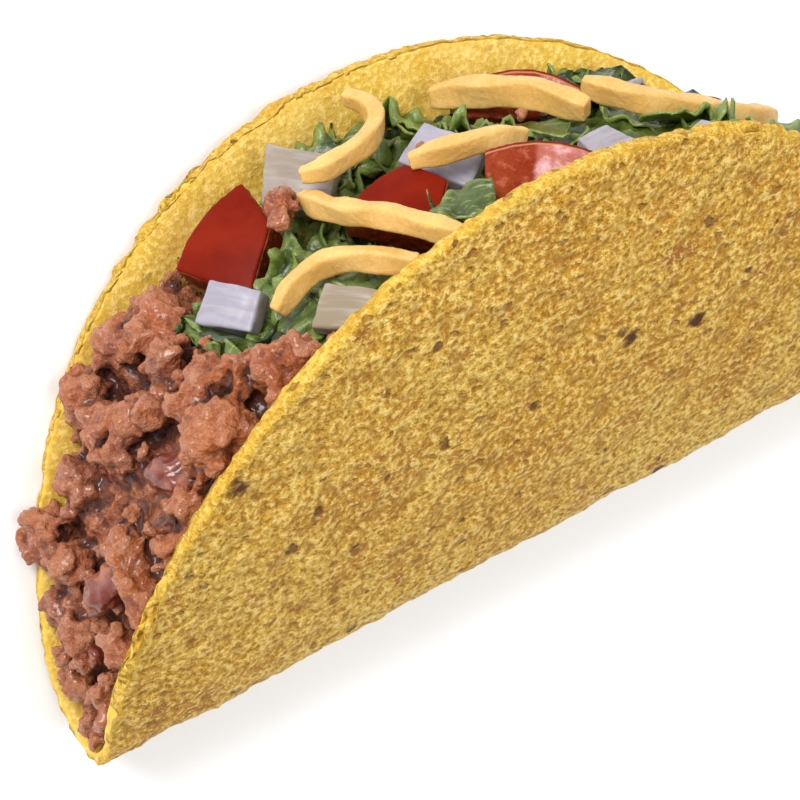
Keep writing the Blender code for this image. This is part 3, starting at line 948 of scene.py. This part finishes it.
def make_hulls():
    made = []
    for number, (degrees, across, lift, length) in enumerate(HULLS):
        bpy.ops.object.select_all(action="DESELECT")
        bpy.ops.mesh.primitive_uv_sphere_add(segments=40, ring_count=24, radius=1)
        hull = bpy.context.object
        hull.scale = (length * MM, 0.60 * length * MM, 0.42 * length * MM)
        bpy.ops.object.transform_apply(location=False, rotation=False, scale=True)
        hull.location = (number * 0.013, 0, 0)
        bpy.ops.object.transform_apply(location=True, rotation=False, scale=False)
        relief(hull, 2.6 * MM, 2.4 * MM)
        relief(hull, 1.2 * MM, 0.6 * MM)
        bpy.ops.object.origin_set(type="ORIGIN_GEOMETRY")
        stand = outward(degrees).to_track_quat("Z", "Y").to_matrix().to_4x4()
        spin = Euler([rng.uniform(-0.4, 0.4), rng.uniform(-0.4, 0.4), rng.uniform(0, math.tau)])
        place = mouth_point(degrees, across, bean_depth(degrees, across), (lift - 0.5) * MM)
        hull.matrix_world = Matrix.Translation(place) @ stand @ spin.to_matrix().to_4x4()
        bpy.ops.object.transform_apply(location=True, rotation=True, scale=True)
        made.append(hull)
    hulls = join("bean_skins", made)
    press_between_walls(hulls)
    mark_height(hulls, 12, 0.5 * MM)
    hulls.data.shade_smooth()
    return hulls


def make_hull_material():
    material, tree, shader, place = start_material("bean skin", Coat_Weight=0.5, Coat_Roughness=0.12)
    base = use(tree, MOTTLE, "Color", Place=place, Scale=260.0, First=(0.17, 0.026, 0.010),
               Second=(0.36, 0.110, 0.055), From=0.45, To=0.66)
    # Painted shade: darker where the hull lies below its smoothed shape, in its folds.
    folds = between(tree, attribute(tree, "height"), 0.2, 0.5, 0.8, 0.0)
    base = mix(tree, folds, base, (0.07, 0.012, 0.006))
    grain = use(tree, CRUMB, "Height", Place=place, Scale=500.0)
    finish_material(tree, shader, base, between(tree, grain, 0.3, 0.7, 0.42, 0.25), grain, 0.0004)
    return material


lay(make_hulls(), make_hull_material(), "beans")

# %% [markdown]
# A few crumbs of beans fall on the lettuce as the taco is filled. They are clods like the
# others, only smaller and on their own. Joined pieces keep the scale of the first one, so
# that is applied before the remesh, which measures its voxels in the piece's own units.

# %% Bean crumbs that fell on the lettuce
CRUMB_VOXEL = 0.3 * MM
CRUMB_TONE = 0.2                    # of beans on their own, on the scale of the clods
# Each row: place and radius in mm.
CRUMBS = (
    (-23.0, 7.5, 57.6, 2.6), (-21.0, 9.6, 57.0, 1.9), (-24.6, 4.6, 57.2, 1.8),
    (-4.0, 2.6, 60.2, 0.9), (-40.5, -2.0, 49.8, 1.2), (12.0, 3.0, 58.4, 1.0),
    (30.0, 6.0, 54.0, 1.2),
)


def strew_crumbs():
    lump = make_lump()
    made = []
    for x, y, z, radius in CRUMBS:
        made += clod(lump, Vector((x, y, z)) * MM, radius * MM, Vector((0, 0, 1)))
    bpy.data.objects.remove(lump)
    crumbs = join("bean_crumbs", made)
    select_only(crumbs)
    bpy.ops.object.transform_apply(location=True, rotation=True, scale=True)
    apply_modifier(crumbs, "REMESH", mode="VOXEL", voxel_size=CRUMB_VOXEL)
    relief(crumbs, 1.0 * MM, -0.5 * MM, noise_basis="VORONOI_F1", depth=0, middle=0.4)
    mark_height(crumbs, 20, 0.6 * MM)
    mark(crumbs, "tone", np.full(len(crumbs.data.vertices), CRUMB_TONE))
    crumbs.data.shade_smooth()
    return crumbs


lay(strew_crumbs(), bean, "beans")

# %% [markdown]
# ## The lettuce
#
# Shredded curly lettuce is thin, crisp and so crumpled that hardly any of it lies flat.
# The heap is built as it is in the kitchen: a crumpled bed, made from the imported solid
# with ruffles pushed into it, and loose shreds strewn over it. A shred starts as a narrow
# grid. Its rims are frilled by patterns that act on the rims alone, it is curled and
# twisted by bend modifiers, and only then thickened to a leaf.

# %% The bed
BED_VOXEL = 0.7 * MM
BED_SINK = 2.0 * MM


def make_bed():
    bed = solid_copy("lettuce", "lettuce_bed")
    apply_modifier(bed, "REMESH", mode="VOXEL", voxel_size=BED_VOXEL)
    apply_modifier(bed, "DISPLACE", strength=-BED_SINK, mid_level=0)
    relief(bed, 2.2 * MM, 2.4 * MM)
    return bed


# %% One shred of leaf
SHRED_COLUMNS = 28
SHRED_ROWS = 8
LEAF_WALL = 0.35 * MM


def make_shred(length, width, frill, curl, twist, seed):
    """A ruffled shred along X, lying near z = 0. Lengths in mm, angles in degrees."""
    bpy.ops.object.select_all(action="DESELECT")
    bpy.ops.mesh.primitive_grid_add(x_subdivisions=SHRED_COLUMNS, y_subdivisions=SHRED_ROWS, size=1,
                                    location=(seed * 0.37, seed * 0.61, 0))
    shred = bpy.context.object
    shred.name = "shred"
    shred.scale = (length * MM, width * MM, 1)
    bpy.ops.object.transform_apply(location=False, rotation=False, scale=True)
    bpy.ops.object.transform_apply(location=True, rotation=False, scale=False)
    flat = places_of(shred)
    along = (flat[:, 0] - seed * 0.37) / (length * MM)
    aside = (flat[:, 1] - seed * 0.61) / (width * MM)
    mark(shred, "leaf", np.stack([along * length, aside * width, np.abs(aside) * 2], 1))
    rims = shred.vertex_groups.new(name="rims")
    for i, share in enumerate(np.abs(aside) * 2):
        rims.add([i], float(0.12 + 0.88 * share ** 1.6), "REPLACE")
    relief(shred, 1.9 * MM, frill * MM, group="rims", direction="Z", depth=0)
    relief(shred, 2.4 * MM, 0.7 * frill * MM, group="rims", direction="Y", depth=0)
    relief(shred, 5.0 * MM, 0.5 * frill * MM, direction="X", depth=0)
    select_only(shred)
    bpy.ops.object.origin_set(type="ORIGIN_GEOMETRY")
    shred.location = (0, 0, 0)
    apply_modifier(shred, "SIMPLE_DEFORM", deform_method="BEND", deform_axis="Y", angle=math.radians(curl))
    apply_modifier(shred, "SIMPLE_DEFORM", deform_method="TWIST", deform_axis="X", angle=math.radians(twist))
    apply_modifier(shred, "SOLIDIFY", thickness=LEAF_WALL, offset=0)
    return shred


TOPPINGS = [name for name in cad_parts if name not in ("shell", "beans", "lettuce")]
UNLAY = LAY.inverted()


def topping_trees():
    """A search tree for each packed topping, standing."""
    trees = []
    for name in sorted(TOPPINGS):
        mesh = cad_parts[name].data
        trees.append(BVHTree.FromPolygons([UNLAY @ vert.co for vert in mesh.vertices],
                                          [tuple(face.vertices) for face in mesh.polygons]))
    return trees


def sink_clear(shred, trees, out, step_down, tries):
    """Sinks a shred until the toppings lie on it. Says whether that worked."""
    for attempt in range(tries + 1):
        points = [vert.co.copy() for vert in list(shred.data.vertices)[::4]]
        over = sum(1 for p in points if any(tree.ray_cast(p, -out, 9 * MM)[0] for tree in trees))
        if over == 0:
            return True
        if attempt < tries:
            shred.data.transform(Matrix.Translation(-step_down * out))
    return False


def put_shred(shred, place, out, heading, tilt):
    """Sets a shred on the heap, with its back to the heap and its length along heading."""
    stand = out.to_track_quat("Z", "Y").to_matrix().to_4x4()
    turn = Matrix.Rotation(math.radians(heading), 4, "Z") @ Matrix.Rotation(math.radians(tilt), 4, "X")
    shred.matrix_world = Matrix.Translation(place) @ stand @ turn
    select_only(shred)
    bpy.ops.object.transform_apply(location=True, rotation=True, scale=True)


# Shreds that stand out: place in mm, length, width, frill, curl, twist, heading, tilt.
PLACED_SHREDS = (
    ((-10, 16, 61.0), 14, 6, 4.5, 60, 40, 60, 30), ((-2.6, 9, 61.5), 16, 6, 4.5, -50, 60, 20, 10),
    ((-13, 13, 60.5), 12, 5, 4.0, 80, 40, 110, 20), ((4, 8, 61.0), 16, 6, 4.5, 40, 50, 30, 20),
    ((8, -1, 60.5), 17, 7, 4.5, 50, 30, 50, 20), ((10, 4, 60.0), 16, 6, 4.5, -40, 50, 60, 20),
    ((18.7, -8.4, 58.8), 13, 7, 4.0, 120, 20, 30, 0), ((12, -7, 59.6), 12, 6, 4.0, 70, 20, 60, 0),
    ((35, -2, 54.5), 16, 8, 5.0, 40, 50, 80, 20), ((40, 6, 50.0), 17, 8, 5.0, -60, 40, 10, 0),
    ((33, 8, 53.5), 15, 7, 5.0, 60, 30, 120, 20), ((44.6, 7, 47.5), 14, 8, 5.0, 70, 20, 100, 10),
    ((46, -4, 46.5), 15, 8, 5.0, 50, 20, 60, 10), ((52.9, 0, 42.5), 15, 8, 5.0, 40, 60, 60, 20),
    ((57, 2, 38.5), 14, 8, 4.5, 40, 20, 30, 20), ((54, -7, 41.0), 13, 7, 4.5, -40, 20, 100, 10),
    ((-25, 1, 55.8), 16, 8, 5.5, 40, 60, 100, 20), ((-27, -2, 55.6), 15, 8, 5.5, -50, 40, 70, -20),
    ((-30, -3, 54.6), 15, 8, 5.0, -40, 30, 60, 10), ((-33, -2, 53.6), 13, 7, 5.0, 60, 30, 20, 20),
    ((-35, -6, 52.4), 14, 7, 5.0, 60, 30, 110, 10), ((-31, -8, 54.0), 12, 7, 4.5, 70, 50, 130, 0),
    ((-39.5, -7, 49.4), 11, 6, 4.5, 50, 80, 140, 0), ((-42, -9, 47.6), 8, 5, 4.0, 60, 40, 100, 0),
    ((-8.6, -13.4, 59.6), 8, 5, 3.0, 40, 30, 60, 10), ((26, 10, 55.5), 15, 7, 4.5, 60, 60, 40, 20),
    ((28, -8, 55.5), 14, 7, 4.5, -60, 30, 120, 10), ((22, 4, 57.0), 14, 7, 4.5, 60, 30, 80, 10),
)
SHREDS_STREWN = 105


def heap_lettuce():
    made = [make_bed()]
    trees = topping_trees()
    for number, row in enumerate(PLACED_SHREDS):
        place, length, width, frill, curl, twist, heading, tilt = row
        shred = make_shred(length, width, frill, curl, twist, number + 1)
        put_shred(shred, Vector(place) * MM, outward(90 + place[0]), heading, tilt)
        if sink_clear(shred, trees, outward(90 + place[0]), 0.8 * MM, 6):
            made.append(shred)
        else:
            bpy.data.objects.remove(shred)
    for number in range(SHREDS_STREWN):
        degrees = 56 + 96 * (number + rng.random()) / SHREDS_STREWN
        across = rng.uniform(-0.9, 0.9) * lettuce_width(degrees)
        shred = make_shred(rng.uniform(9, 15), rng.uniform(5, 8), rng.uniform(3.5, 5.5),
                           rng.uniform(-90, 90), rng.uniform(-70, 70), 40 + number)
        place = mouth_point(degrees, across, lettuce_depth(degrees), rng.uniform(-2.0, 0.0) * MM)
        put_shred(shred, place, outward(degrees), rng.uniform(0, 360), rng.uniform(-30, 30))
        if sink_clear(shred, trees, outward(degrees), 0.8 * MM, 6):
            made.append(shred)
        else:
            bpy.data.objects.remove(shred)
    print(len(made) - 1, "shreds in the heap")
    heap = join("lettuce_shreds", made)
    press_between_walls(heap)
    return heap


lettuce = heap_lettuce()
mark_height(lettuce, 6, 0.8 * MM)
lettuce.data.shade_smooth()


# %% Lettuce leaf
def make_leaf_material():
    material, tree, shader, place = start_material("lettuce leaf", Coat_Weight=0.25, Coat_Roughness=0.2,
                                                   Specular_IOR_Level=0.4)
    height = attribute(tree, "height")
    base = use(tree, MOTTLE, "Color", Place=place, Scale=120.0, First=(0.036, 0.062, 0.008),
               Second=(0.115, 0.165, 0.022), From=0.38, To=0.64)
    # Painted light and shade: lighter where the leaf stands above its smoothed shape, as highlights on the
    # ruffles' ridges, and darker where it lies below, as shade in their hollows.
    base = mix(tree, between(tree, height, 0.5, 0.9, 0.0, 0.6), base, (0.25, 0.33, 0.07))
    base = mix(tree, between(tree, height, 0.15, 0.5, 0.85, 0.0), base, (0.010, 0.018, 0.003))
    blade = attribute(tree, "leaf", "Vector")
    veins = noise_at(tree, stretched(tree, blade, (0.5, 2.2, 0.0)), 1.0, 2.0, 0.5, 1.0)
    base = mix(tree, between(tree, veins, 0.56, 0.66, 0.0, 0.4), base, (0.34, 0.42, 0.14))
    far = add_node(tree, "ShaderNodeSeparateXYZ", {0: place}).outputs[0]
    base = mix(tree, between(tree, far, 0.036, 0.055, 0.0, 0.45), base, (0.26, 0.36, 0.12))
    grain = use(tree, CRUMB, "Height", Place=place, Scale=600.0)
    finish_material(tree, shader, base, between(tree, grain, 0.3, 0.7, 0.42, 0.28), grain, 0.0005)
    return material


leaf = make_leaf_material()
lay(lettuce, leaf, "lettuce", "lettuce")

# %% [markdown]
# ## Diced tomato and onion
#
# A dice is made with a knife, so it is modelled with one: a ball the size of the tomato
# or of one onion layer is cut down by planes, and the cuts are closed. What is left of
# the ball is the skin. How deep a point lies under the skin is kept for the material,
# which turns it into skin, flesh and pulp. A voxel remesh then gives faces small enough
# to round the edges and to roughen the cuts.

# %% Cutting a dice
DICE_VOXEL = 0.30 * MM


def side_planes(corners, bows):
    """Knife planes along the four sides of a face, a few for each side that bows out."""
    corners = [Vector(corner) * MM for corner in corners]
    middle = sum(corners, Vector((0, 0))) / 4
    order = ((0, 1, bows[0]), (1, 2, bows[1]), (2, 3, bows[2]), (3, 0, bows[3]))
    planes = []
    for first, second, bow in order:
        a, b = corners[first], corners[second]
        out = Vector((b.y - a.y, a.x - b.x)).normalized()
        if out.dot((a + b) / 2 - middle) < 0:
            out = -out
        for u in ((-0.75, -0.4, 0, 0.4, 0.75) if bow > 0.5 else (0,)):
            point = a.lerp(b, (u + 1) / 2) + out * bow * MM * (1 - u * u)
            tangent = (b - a) / 2 - 2 * u * bow * MM * out
            normal = Vector((tangent.y, -tangent.x)).normalized()
            if normal.dot(out) < 0:
                normal = -normal
            planes.append((first, Vector((point.x, point.y, 0)), Vector((normal.x, normal.y, 0))))
    return planes


def cut_dice(name, row, skin_side=None):
    """A dice with its face up; its skin is the domed face, or one of its sides."""
    _, _, corners, thickness, bulge, bows = row
    reach = max(Vector(corner).length for corner in corners)
    radius = (reach ** 2 + bulge ** 2) / (2 * bulge) if bulge else 100
    bpy.ops.object.select_all(action="DESELECT")
    bpy.ops.mesh.primitive_uv_sphere_add(segments=64, ring_count=64, radius=radius * MM,
                                         location=(0, 0, (bulge - radius) * MM))
    dice = bpy.context.object
    dice.name = dice.data.name = name
    bpy.ops.object.transform_apply(location=True)
    bpy.ops.object.mode_set(mode="EDIT")
    planes = side_planes(corners, bows)
    cut((0, 0, -thickness * MM), (0, 0, -1))
    for _, point, normal in planes:
        cut(point, normal)
    bpy.ops.object.mode_set(mode="OBJECT")
    apply_modifier(dice, "REMESH", mode="VOXEL", voxel_size=DICE_VOXEL)
    apply_modifier(dice, "SMOOTH", factor=0.5, iterations=3)
    places = places_of(dice)
    if skin_side is None:
        under = radius * MM - np.linalg.norm(places - (0, 0, (bulge - radius) * MM), axis=1)
    else:
        under = np.min([-(places - point) @ np.array(normal) for side, point, normal in planes
                        if side == skin_side], axis=0)
    mark(dice, "under_skin", under / MM)
    mark(dice, "dice", places / MM)
    flesh = dice.vertex_groups.new(name="flesh")
    for i, depth in enumerate(under / MM):
        flesh.add([i], float(min(max((depth - 0.4) / 0.8, 0), 1)), "REPLACE")
    return dice


def put_dice(dice, row):
    """Turns a finished dice and sets it in its place."""
    dice.location = Vector(row[0]) * MM
    dice.rotation_euler = Euler([math.radians(angle) for angle in row[1]])
    select_only(dice)
    bpy.ops.object.transform_apply(location=True, rotation=True, scale=True)
    dice.data.shade_smooth()


# %% The tomatoes
# Each row: centre, turn in degrees, corners of the face, thickness, bulge, bows of its
# sides, the side with the skin (None for the face), and where the pulp starts along X.
TOMATOES = (
    ((-28.9, 10.3, 53.7), (34, 20, -71), ((-4.6, 7.1), (2.5, 4.6), (6.0, -4.6), (-4.9, -6.4)),
     5.5, 0.9, (0.3, 0.2, 0.3, 1.2), None, 99),
    ((-10.4, -3.1, 57.2), (14, -22, 17), ((-5.3, 6.3), (4.1, 3.1), (4.4, -2.9), (-3.2, -5.8)),
     4.5, 1.0, (0.8, 0.3, 0.4, 0.4), None, 99),
    ((17.8, 10.9, 56.0), (42, 11, -34), ((-7.4, 2.2), (7.2, 2.4), (7.8, -2.9), (-7.5, -2.8)),
     5.0, 0.3, (2.2, 0.4, 0.0, 0.4), 0, 2.5),
    ((2.2, -14.6, 58.8), (34, 8, -38), ((-7.0, 3.9), (8.4, 3.2), (2.8, -3.6), (-4.6, -4.2)),
     5.0, 0.3, (1.9, 0.6, 0.2, 0.7), 0, -0.5),
    ((41.6, 0.6, 47.8), (30, 10, 10), ((-3.4, 2.6), (3.2, 2.2), (3.4, -2.4), (-3.6, -2.6)),
     5.0, 0.8, (0.7, 0.2, 0.2, 0.2), None, 99),
    ((49.5, -10.5, 40.6), (25, 38, 20), ((-3.8, 3.4), (4.0, 2.6), (3.4, -3.4), (-4.0, -3.0)),
     5.0, 0.9, (0.3, 0.8, 0.2, 0.2), None, 99),
)


def make_tomato_material():
    material, tree, shader, place = start_material("fresh tomato", Specular_IOR_Level=0.06)
    under = attribute(tree, "under_skin")
    pulp = attribute(tree, "pulp")
    skin = use(tree, MOTTLE, "Color", Place=place, Scale=160.0, First=(0.165, 0.008, 0.002),
               Second=(0.215, 0.013, 0.003), From=0.35, To=0.65)
    flesh = use(tree, MOTTLE, "Color", Place=place, Scale=350.0, First=(0.215, 0.024, 0.006),
                Second=(0.275, 0.042, 0.011), From=0.35, To=0.65)
    grains = between(tree, noise_at(tree, place, 900.0), 0.52, 0.7, 0.0, 0.4)
    flesh = mix(tree, grains, flesh, (0.50, 0.17, 0.10))
    wobble = combine(tree, "ADD", pulp, combine(tree, "MULTIPLY", noise_at(tree, place, 260.0), 0.5))
    wet = between(tree, wobble, 0.55, 0.85)
    clear = use(tree, MOTTLE, "Color", Place=place, Scale=300.0, First=(0.42, 0.12, 0.09),
                Second=(0.68, 0.40, 0.40), From=0.40, To=0.60)
    flesh = mix(tree, wet, flesh, clear)
    line = between(tree, under, 0.30, 0.55)
    # The lighter orange band just under the skin, along the edge of the cut, is a painted highlight on the
    # skin's edge.
    base = mix(tree, line, skin, mix(tree, between(tree, under, 0.55, 0.8), (0.52, 0.20, 0.10), flesh))
    wet = combine(tree, "MULTIPLY", wet, combine(tree, "MULTIPLY", line, 0.6))
    plug(tree, wet, shader.inputs["Coat Weight"])
    grain = combine(tree, "MULTIPLY", use(tree, CRUMB, "Height", Place=place, Scale=900.0), line)
    finish_material(tree, shader, base, between(tree, line, 0, 1, 0.42, 0.36), grain, 0.0004)
    return material


tomato = make_tomato_material()
for number, row in enumerate(TOMATOES, 1):
    piece = cut_dice(f"tomato_dice_{number}", row[:6], row[6])
    along = places_of(piece)[:, 0] / MM
    mark(piece, "pulp", np.clip((along - row[7]) / 3.0 + 0.5, 0, 1))
    relief(piece, 1.2 * MM, 0.5 * MM, group="flesh")
    put_dice(piece, row)
    lay(piece, tomato, "tomato", f"tomato_{number}")

# %% The onions
ONIONS = (
    ((-17.2, 12.5, 57.6), (37, 10, -50), ((-5.4, 4.1), (4.6, 3.9), (4.8, -3.9), (-4.0, -4.1)),
     2.6, 0.4, (0.2, 0.1, 0.2, 0.1)),
    ((-35.8, 0.2, 51.8), (40, 6, -57), ((-3.5, 2.9), (3.6, 2.6), (3.8, -2.6), (-3.9, -2.9)),
     3.0, 0.3, (0.1, 0.1, 0.1, 0.1)),
    ((-26.1, -14.0, 52.9), (36, 4, -51), ((-4.3, 2.9), (4.9, 2.5), (4.2, -2.5), (-4.8, -2.9)),
     2.6, 0.3, (0.1, 0.1, 0.1, 0.1)),
    ((-1.2, 1.7, 58.4), (25, 16, -60), ((-4.6, 3.2), (4.5, 3.3), (5.2, -3.3), (-5.2, -3.2)),
     2.4, 0.4, (0.2, 0.1, 0.2, 0.1)),
    ((16.4, -9.9, 56.2), (21, -1, 0), ((-2.6, 3.5), (2.0, 3.3), (4.6, -3.3), (-2.8, -3.5)),
     2.4, 0.3, (0.1, 0.1, 0.1, 0.1)),
    ((27.4, -16.4, 55.0), (22, -3, 22), ((-3.4, 2.9), (2.8, 2.6), (3.8, -2.4), (-3.2, -2.8)),
     2.4, 0.3, (0.1, 0.1, 0.1, 0.1)),
    ((34.0, 12.5, 51.2), (-20, 14, 30), ((-3.6, 3.2), (3.8, 2.8), (3.4, -3.2), (-3.8, -2.8)),
     2.6, 0.3, (0.1, 0.1, 0.1, 0.1)),
)


PAINTED_REFLECTION_SHARE = (0.15, 0.95, 0.0, 1.0, 0.8, 0.8, 0.5)       # share of painted bluish reflection on each onion dice


def make_onion_material():
    material, tree, shader, place = start_material("white onion", Specular_IOR_Level=0.15, Coat_Weight=0.08,
                                                   Coat_Roughness=0.15)
    local = attribute(tree, "dice", "Vector")
    fibres = noise_at(tree, stretched(tree, local, (0.10, 0.9, 0.4)), 1.0, 2.0)
    cream = use(tree, MOTTLE, "Color", Place=place, Scale=110.0, First=(0.29, 0.23, 0.16),
                Second=(0.36, 0.30, 0.245), From=0.4, To=0.6)
    # Painted reflection: the bluish white, mixed in by each dice's own share, stands in for reflected light
    # and is not the onion's colour.
    lilac = use(tree, MOTTLE, "Color", Place=place, Scale=200.0, First=(0.31, 0.29, 0.35),
                Second=(0.37, 0.345, 0.415), From=0.4, To=0.6)
    base = mix(tree, attribute(tree, "lilac"), cream, lilac)
    base = mix(tree, between(tree, fibres, 0.45, 0.65, 0.0, 0.4), base, (0.50, 0.47, 0.49))
    inner = between(tree, attribute(tree, "under_skin"), 0.3, 1.0, 0.0, 0.4)
    base = mix(tree, inner, base, (0.31, 0.26, 0.19))
    finish_material(tree, shader, base, between(tree, fibres, 0.3, 0.7, 0.35, 0.22), fibres, 0.0001)
    return material


onion = make_onion_material()
for number, row in enumerate(ONIONS, 1):
    piece = cut_dice(f"onion_dice_{number}", row)
    # Each dice's share of the painted bluish reflection.
    mark(piece, "lilac", np.full(len(piece.data.vertices), PAINTED_REFLECTION_SHARE[number - 1]))
    relief(piece, 4.0 * MM, 0.5 * MM)
    put_dice(piece, row)
    lay(piece, onion, "onion", f"onion_{number}")

# %% [markdown]
# ## The grated cheese
#
# A shred of cheese is what one hole of a grater cuts: a strip with a flat section, ragged
# edges and thin ends, that curls as it falls. A section swept along a smooth route gives
# the strip, with a radius at each point for the thin ends. It is then remeshed, because
# a swept surface has long faces that can't take the rough face of the cut.

# %% Sweeping the shreds
CHEESES = (
    (((-4.6, 19.6, 62.4), (-3.6, 16.3, 62.0), (-4.8, 11.7, 61.4), (-8.6, 8.2, 60.9),
      (-13.2, 6.6, 61.0), (-16.9, 6.7, 60.6), (-18.8, 8.0, 60.4)), 2.9, 2.3, 0),
    (((-19.5, 7.4, 57.6), (-19.6, 1.8, 58.2), (-18.9, -3.9, 59.3), (-17.0, -9.2, 59.8),
      (-14.2, -15.0, 59.2), (-11.8, -18.6, 58.4)), 3.0, 2.4, 0),
    (((-32.3, -5.9, 51.8), (-29.2, -5.7, 54.0), (-25.7, -6.4, 55.6), (-22.8, -9.1, 56.4),
      (-20.3, -13.3, 56.6), (-17.6, -16.6, 56.4)), 3.0, 2.4, 0),
    (((7.4, 17.4, 58.4), (11.1, 12.6, 59.2), (15.8, 5.6, 59.2), (19.4, -1.5, 57.6)), 3.9, 2.9, 0),
    (((-7.7, -0.5, 60.6), (-3.3, -2.9, 61.3), (1.9, -4.3, 61.1), (7.6, -4.0, 59.4)), 3.0, 2.4, 0),
    (((23.4, 5.0, 57.8), (26.5, 1.0, 56.4), (29.1, -2.0, 55.2), (35.7, -4.2, 52.2),
      (41.6, -4.4, 49.0), (50.3, -1.6, 44.4)), 3.4, 2.6, 0),
    (((46.0, 13.0, 42.6), (49.5, 8.0, 42.4), (52.0, 3.0, 40.8), (53.0, -3.0, 39.6)), 3.0, 2.4, 0),
)
CHEESE_VOXEL = 0.26 * MM
CHEESE_STEP = 1.0 * MM


def smooth_route(points):
    """Points about a step apart on a smooth curve through the given ones."""
    points = [Vector(point) * MM for point in points]
    points = [2 * points[0] - points[1], *points, 2 * points[-1] - points[-2]]
    route = []
    for a, b, c, d in zip(points, points[1:], points[2:], points[3:]):
        count = max(1, round((c - b).length / CHEESE_STEP))
        for i in range(count):
            t = i / count
            route.append(0.5 * ((2 * b) + (c - a) * t + (2 * a - 5 * b + 4 * c - d) * t ** 2
                                + (3 * b - a - 3 * c + d) * t ** 3))
    return route + [points[-2]]


def cheese_section(width, thickness):
    """The closed section of a shred: a flat box with its corners cut."""
    bpy.ops.object.select_all(action="DESELECT")
    bpy.ops.curve.primitive_bezier_circle_add(radius=1)
    section = bpy.context.object
    section.data.splines.clear()
    outline = section.data.splines.new("POLY")
    outline.points.add(7)
    outline.use_cyclic_u = True
    wide, tall, corner = width / 2, thickness / 2, 0.3
    corners = ((wide - corner, -tall), (wide, corner - tall), (wide, tall - corner), (wide - corner, tall),
               (corner - wide, tall), (-wide, tall - corner), (-wide, corner - tall), (corner - wide, -tall))
    for point, (x, y) in zip(outline.points, corners):
        point.co = (x * MM, y * MM, 0, 1)
    return section


def sweep_shred(number, row):
    points, width, thickness, tilt = row
    section = cheese_section(width, thickness)
    bpy.ops.object.select_all(action="DESELECT")
    bpy.ops.curve.primitive_nurbs_path_add()
    shred = bpy.context.object
    shred.name = shred.data.name = f"cheese_shred_{number}"
    path = shred.data
    path.splines.clear()
    route = smooth_route(points)
    spline = path.splines.new("POLY")
    spline.points.add(len(route) - 1)
    for i, (point, place) in enumerate(zip(spline.points, route)):
        ends = min(i, len(route) - 1 - i) / 3
        point.co = (*place, 1)
        point.tilt = math.radians(90 + tilt + 10 * math.sin(i * 0.5 + number))
        point.radius = (0.72 + 0.28 * min(ends, 1)) * (1 + 0.05 * math.sin(i * 0.9 + 2 * number))
    path.twist_mode = "Z_UP"
    path.bevel_mode = "OBJECT"
    path.bevel_object = section
    path.use_fill_caps = True
    select_only(shred)
    bpy.ops.object.convert(target="MESH")
    bpy.data.objects.remove(section)
    shred = bpy.context.object
    apply_modifier(shred, "REMESH", mode="VOXEL", voxel_size=CHEESE_VOXEL)
    relief(shred, 3.0 * MM, 0.16 * MM)
    relief(shred, 0.9 * MM, 0.12 * MM, noise_basis="IMPROVED_PERLIN")
    mark_height(shred, 10, 0.25 * MM)
    shred.data.shade_smooth()
    return shred


def make_cheese_material():
    material, tree, shader, place = start_material(
        "yellow cheese", Specular_IOR_Level=0.3, Subsurface_Weight=0.12,
        Subsurface_Radius=(0.004, 0.002, 0.0008), Subsurface_Scale=0.3)
    base = use(tree, MOTTLE, "Color", Place=place, Scale=140.0, First=(0.66, 0.38, 0.10),
               Second=(0.74, 0.47, 0.15), From=0.38, To=0.62)
    grain = use(tree, CRUMB, "Height", Place=place, Scale=1500.0)
    # Painted highlights: lighter where the fine grain is high.
    base = mix(tree, between(tree, grain, 0.5, 0.65, 0.0, 0.25), base, (0.84, 0.60, 0.27))
    # Painted shade: darker where the shred lies below its smoothed shape, in its hollows.
    painted_hollow_shade = between(tree, attribute(tree, "height"), 0.1, 0.5, 0.6, 0.0)
    base = mix(tree, painted_hollow_shade, base, (0.48, 0.23, 0.03))
    finish_material(tree, shader, base, between(tree, grain, 0.3, 0.7, 0.45, 0.30), grain, 0.00015)
    return material


cheese = make_cheese_material()
for number, row in enumerate(CHEESES, 1):
    lay(sweep_shred(number, row), cheese, "cheese", f"cheese_{number}")
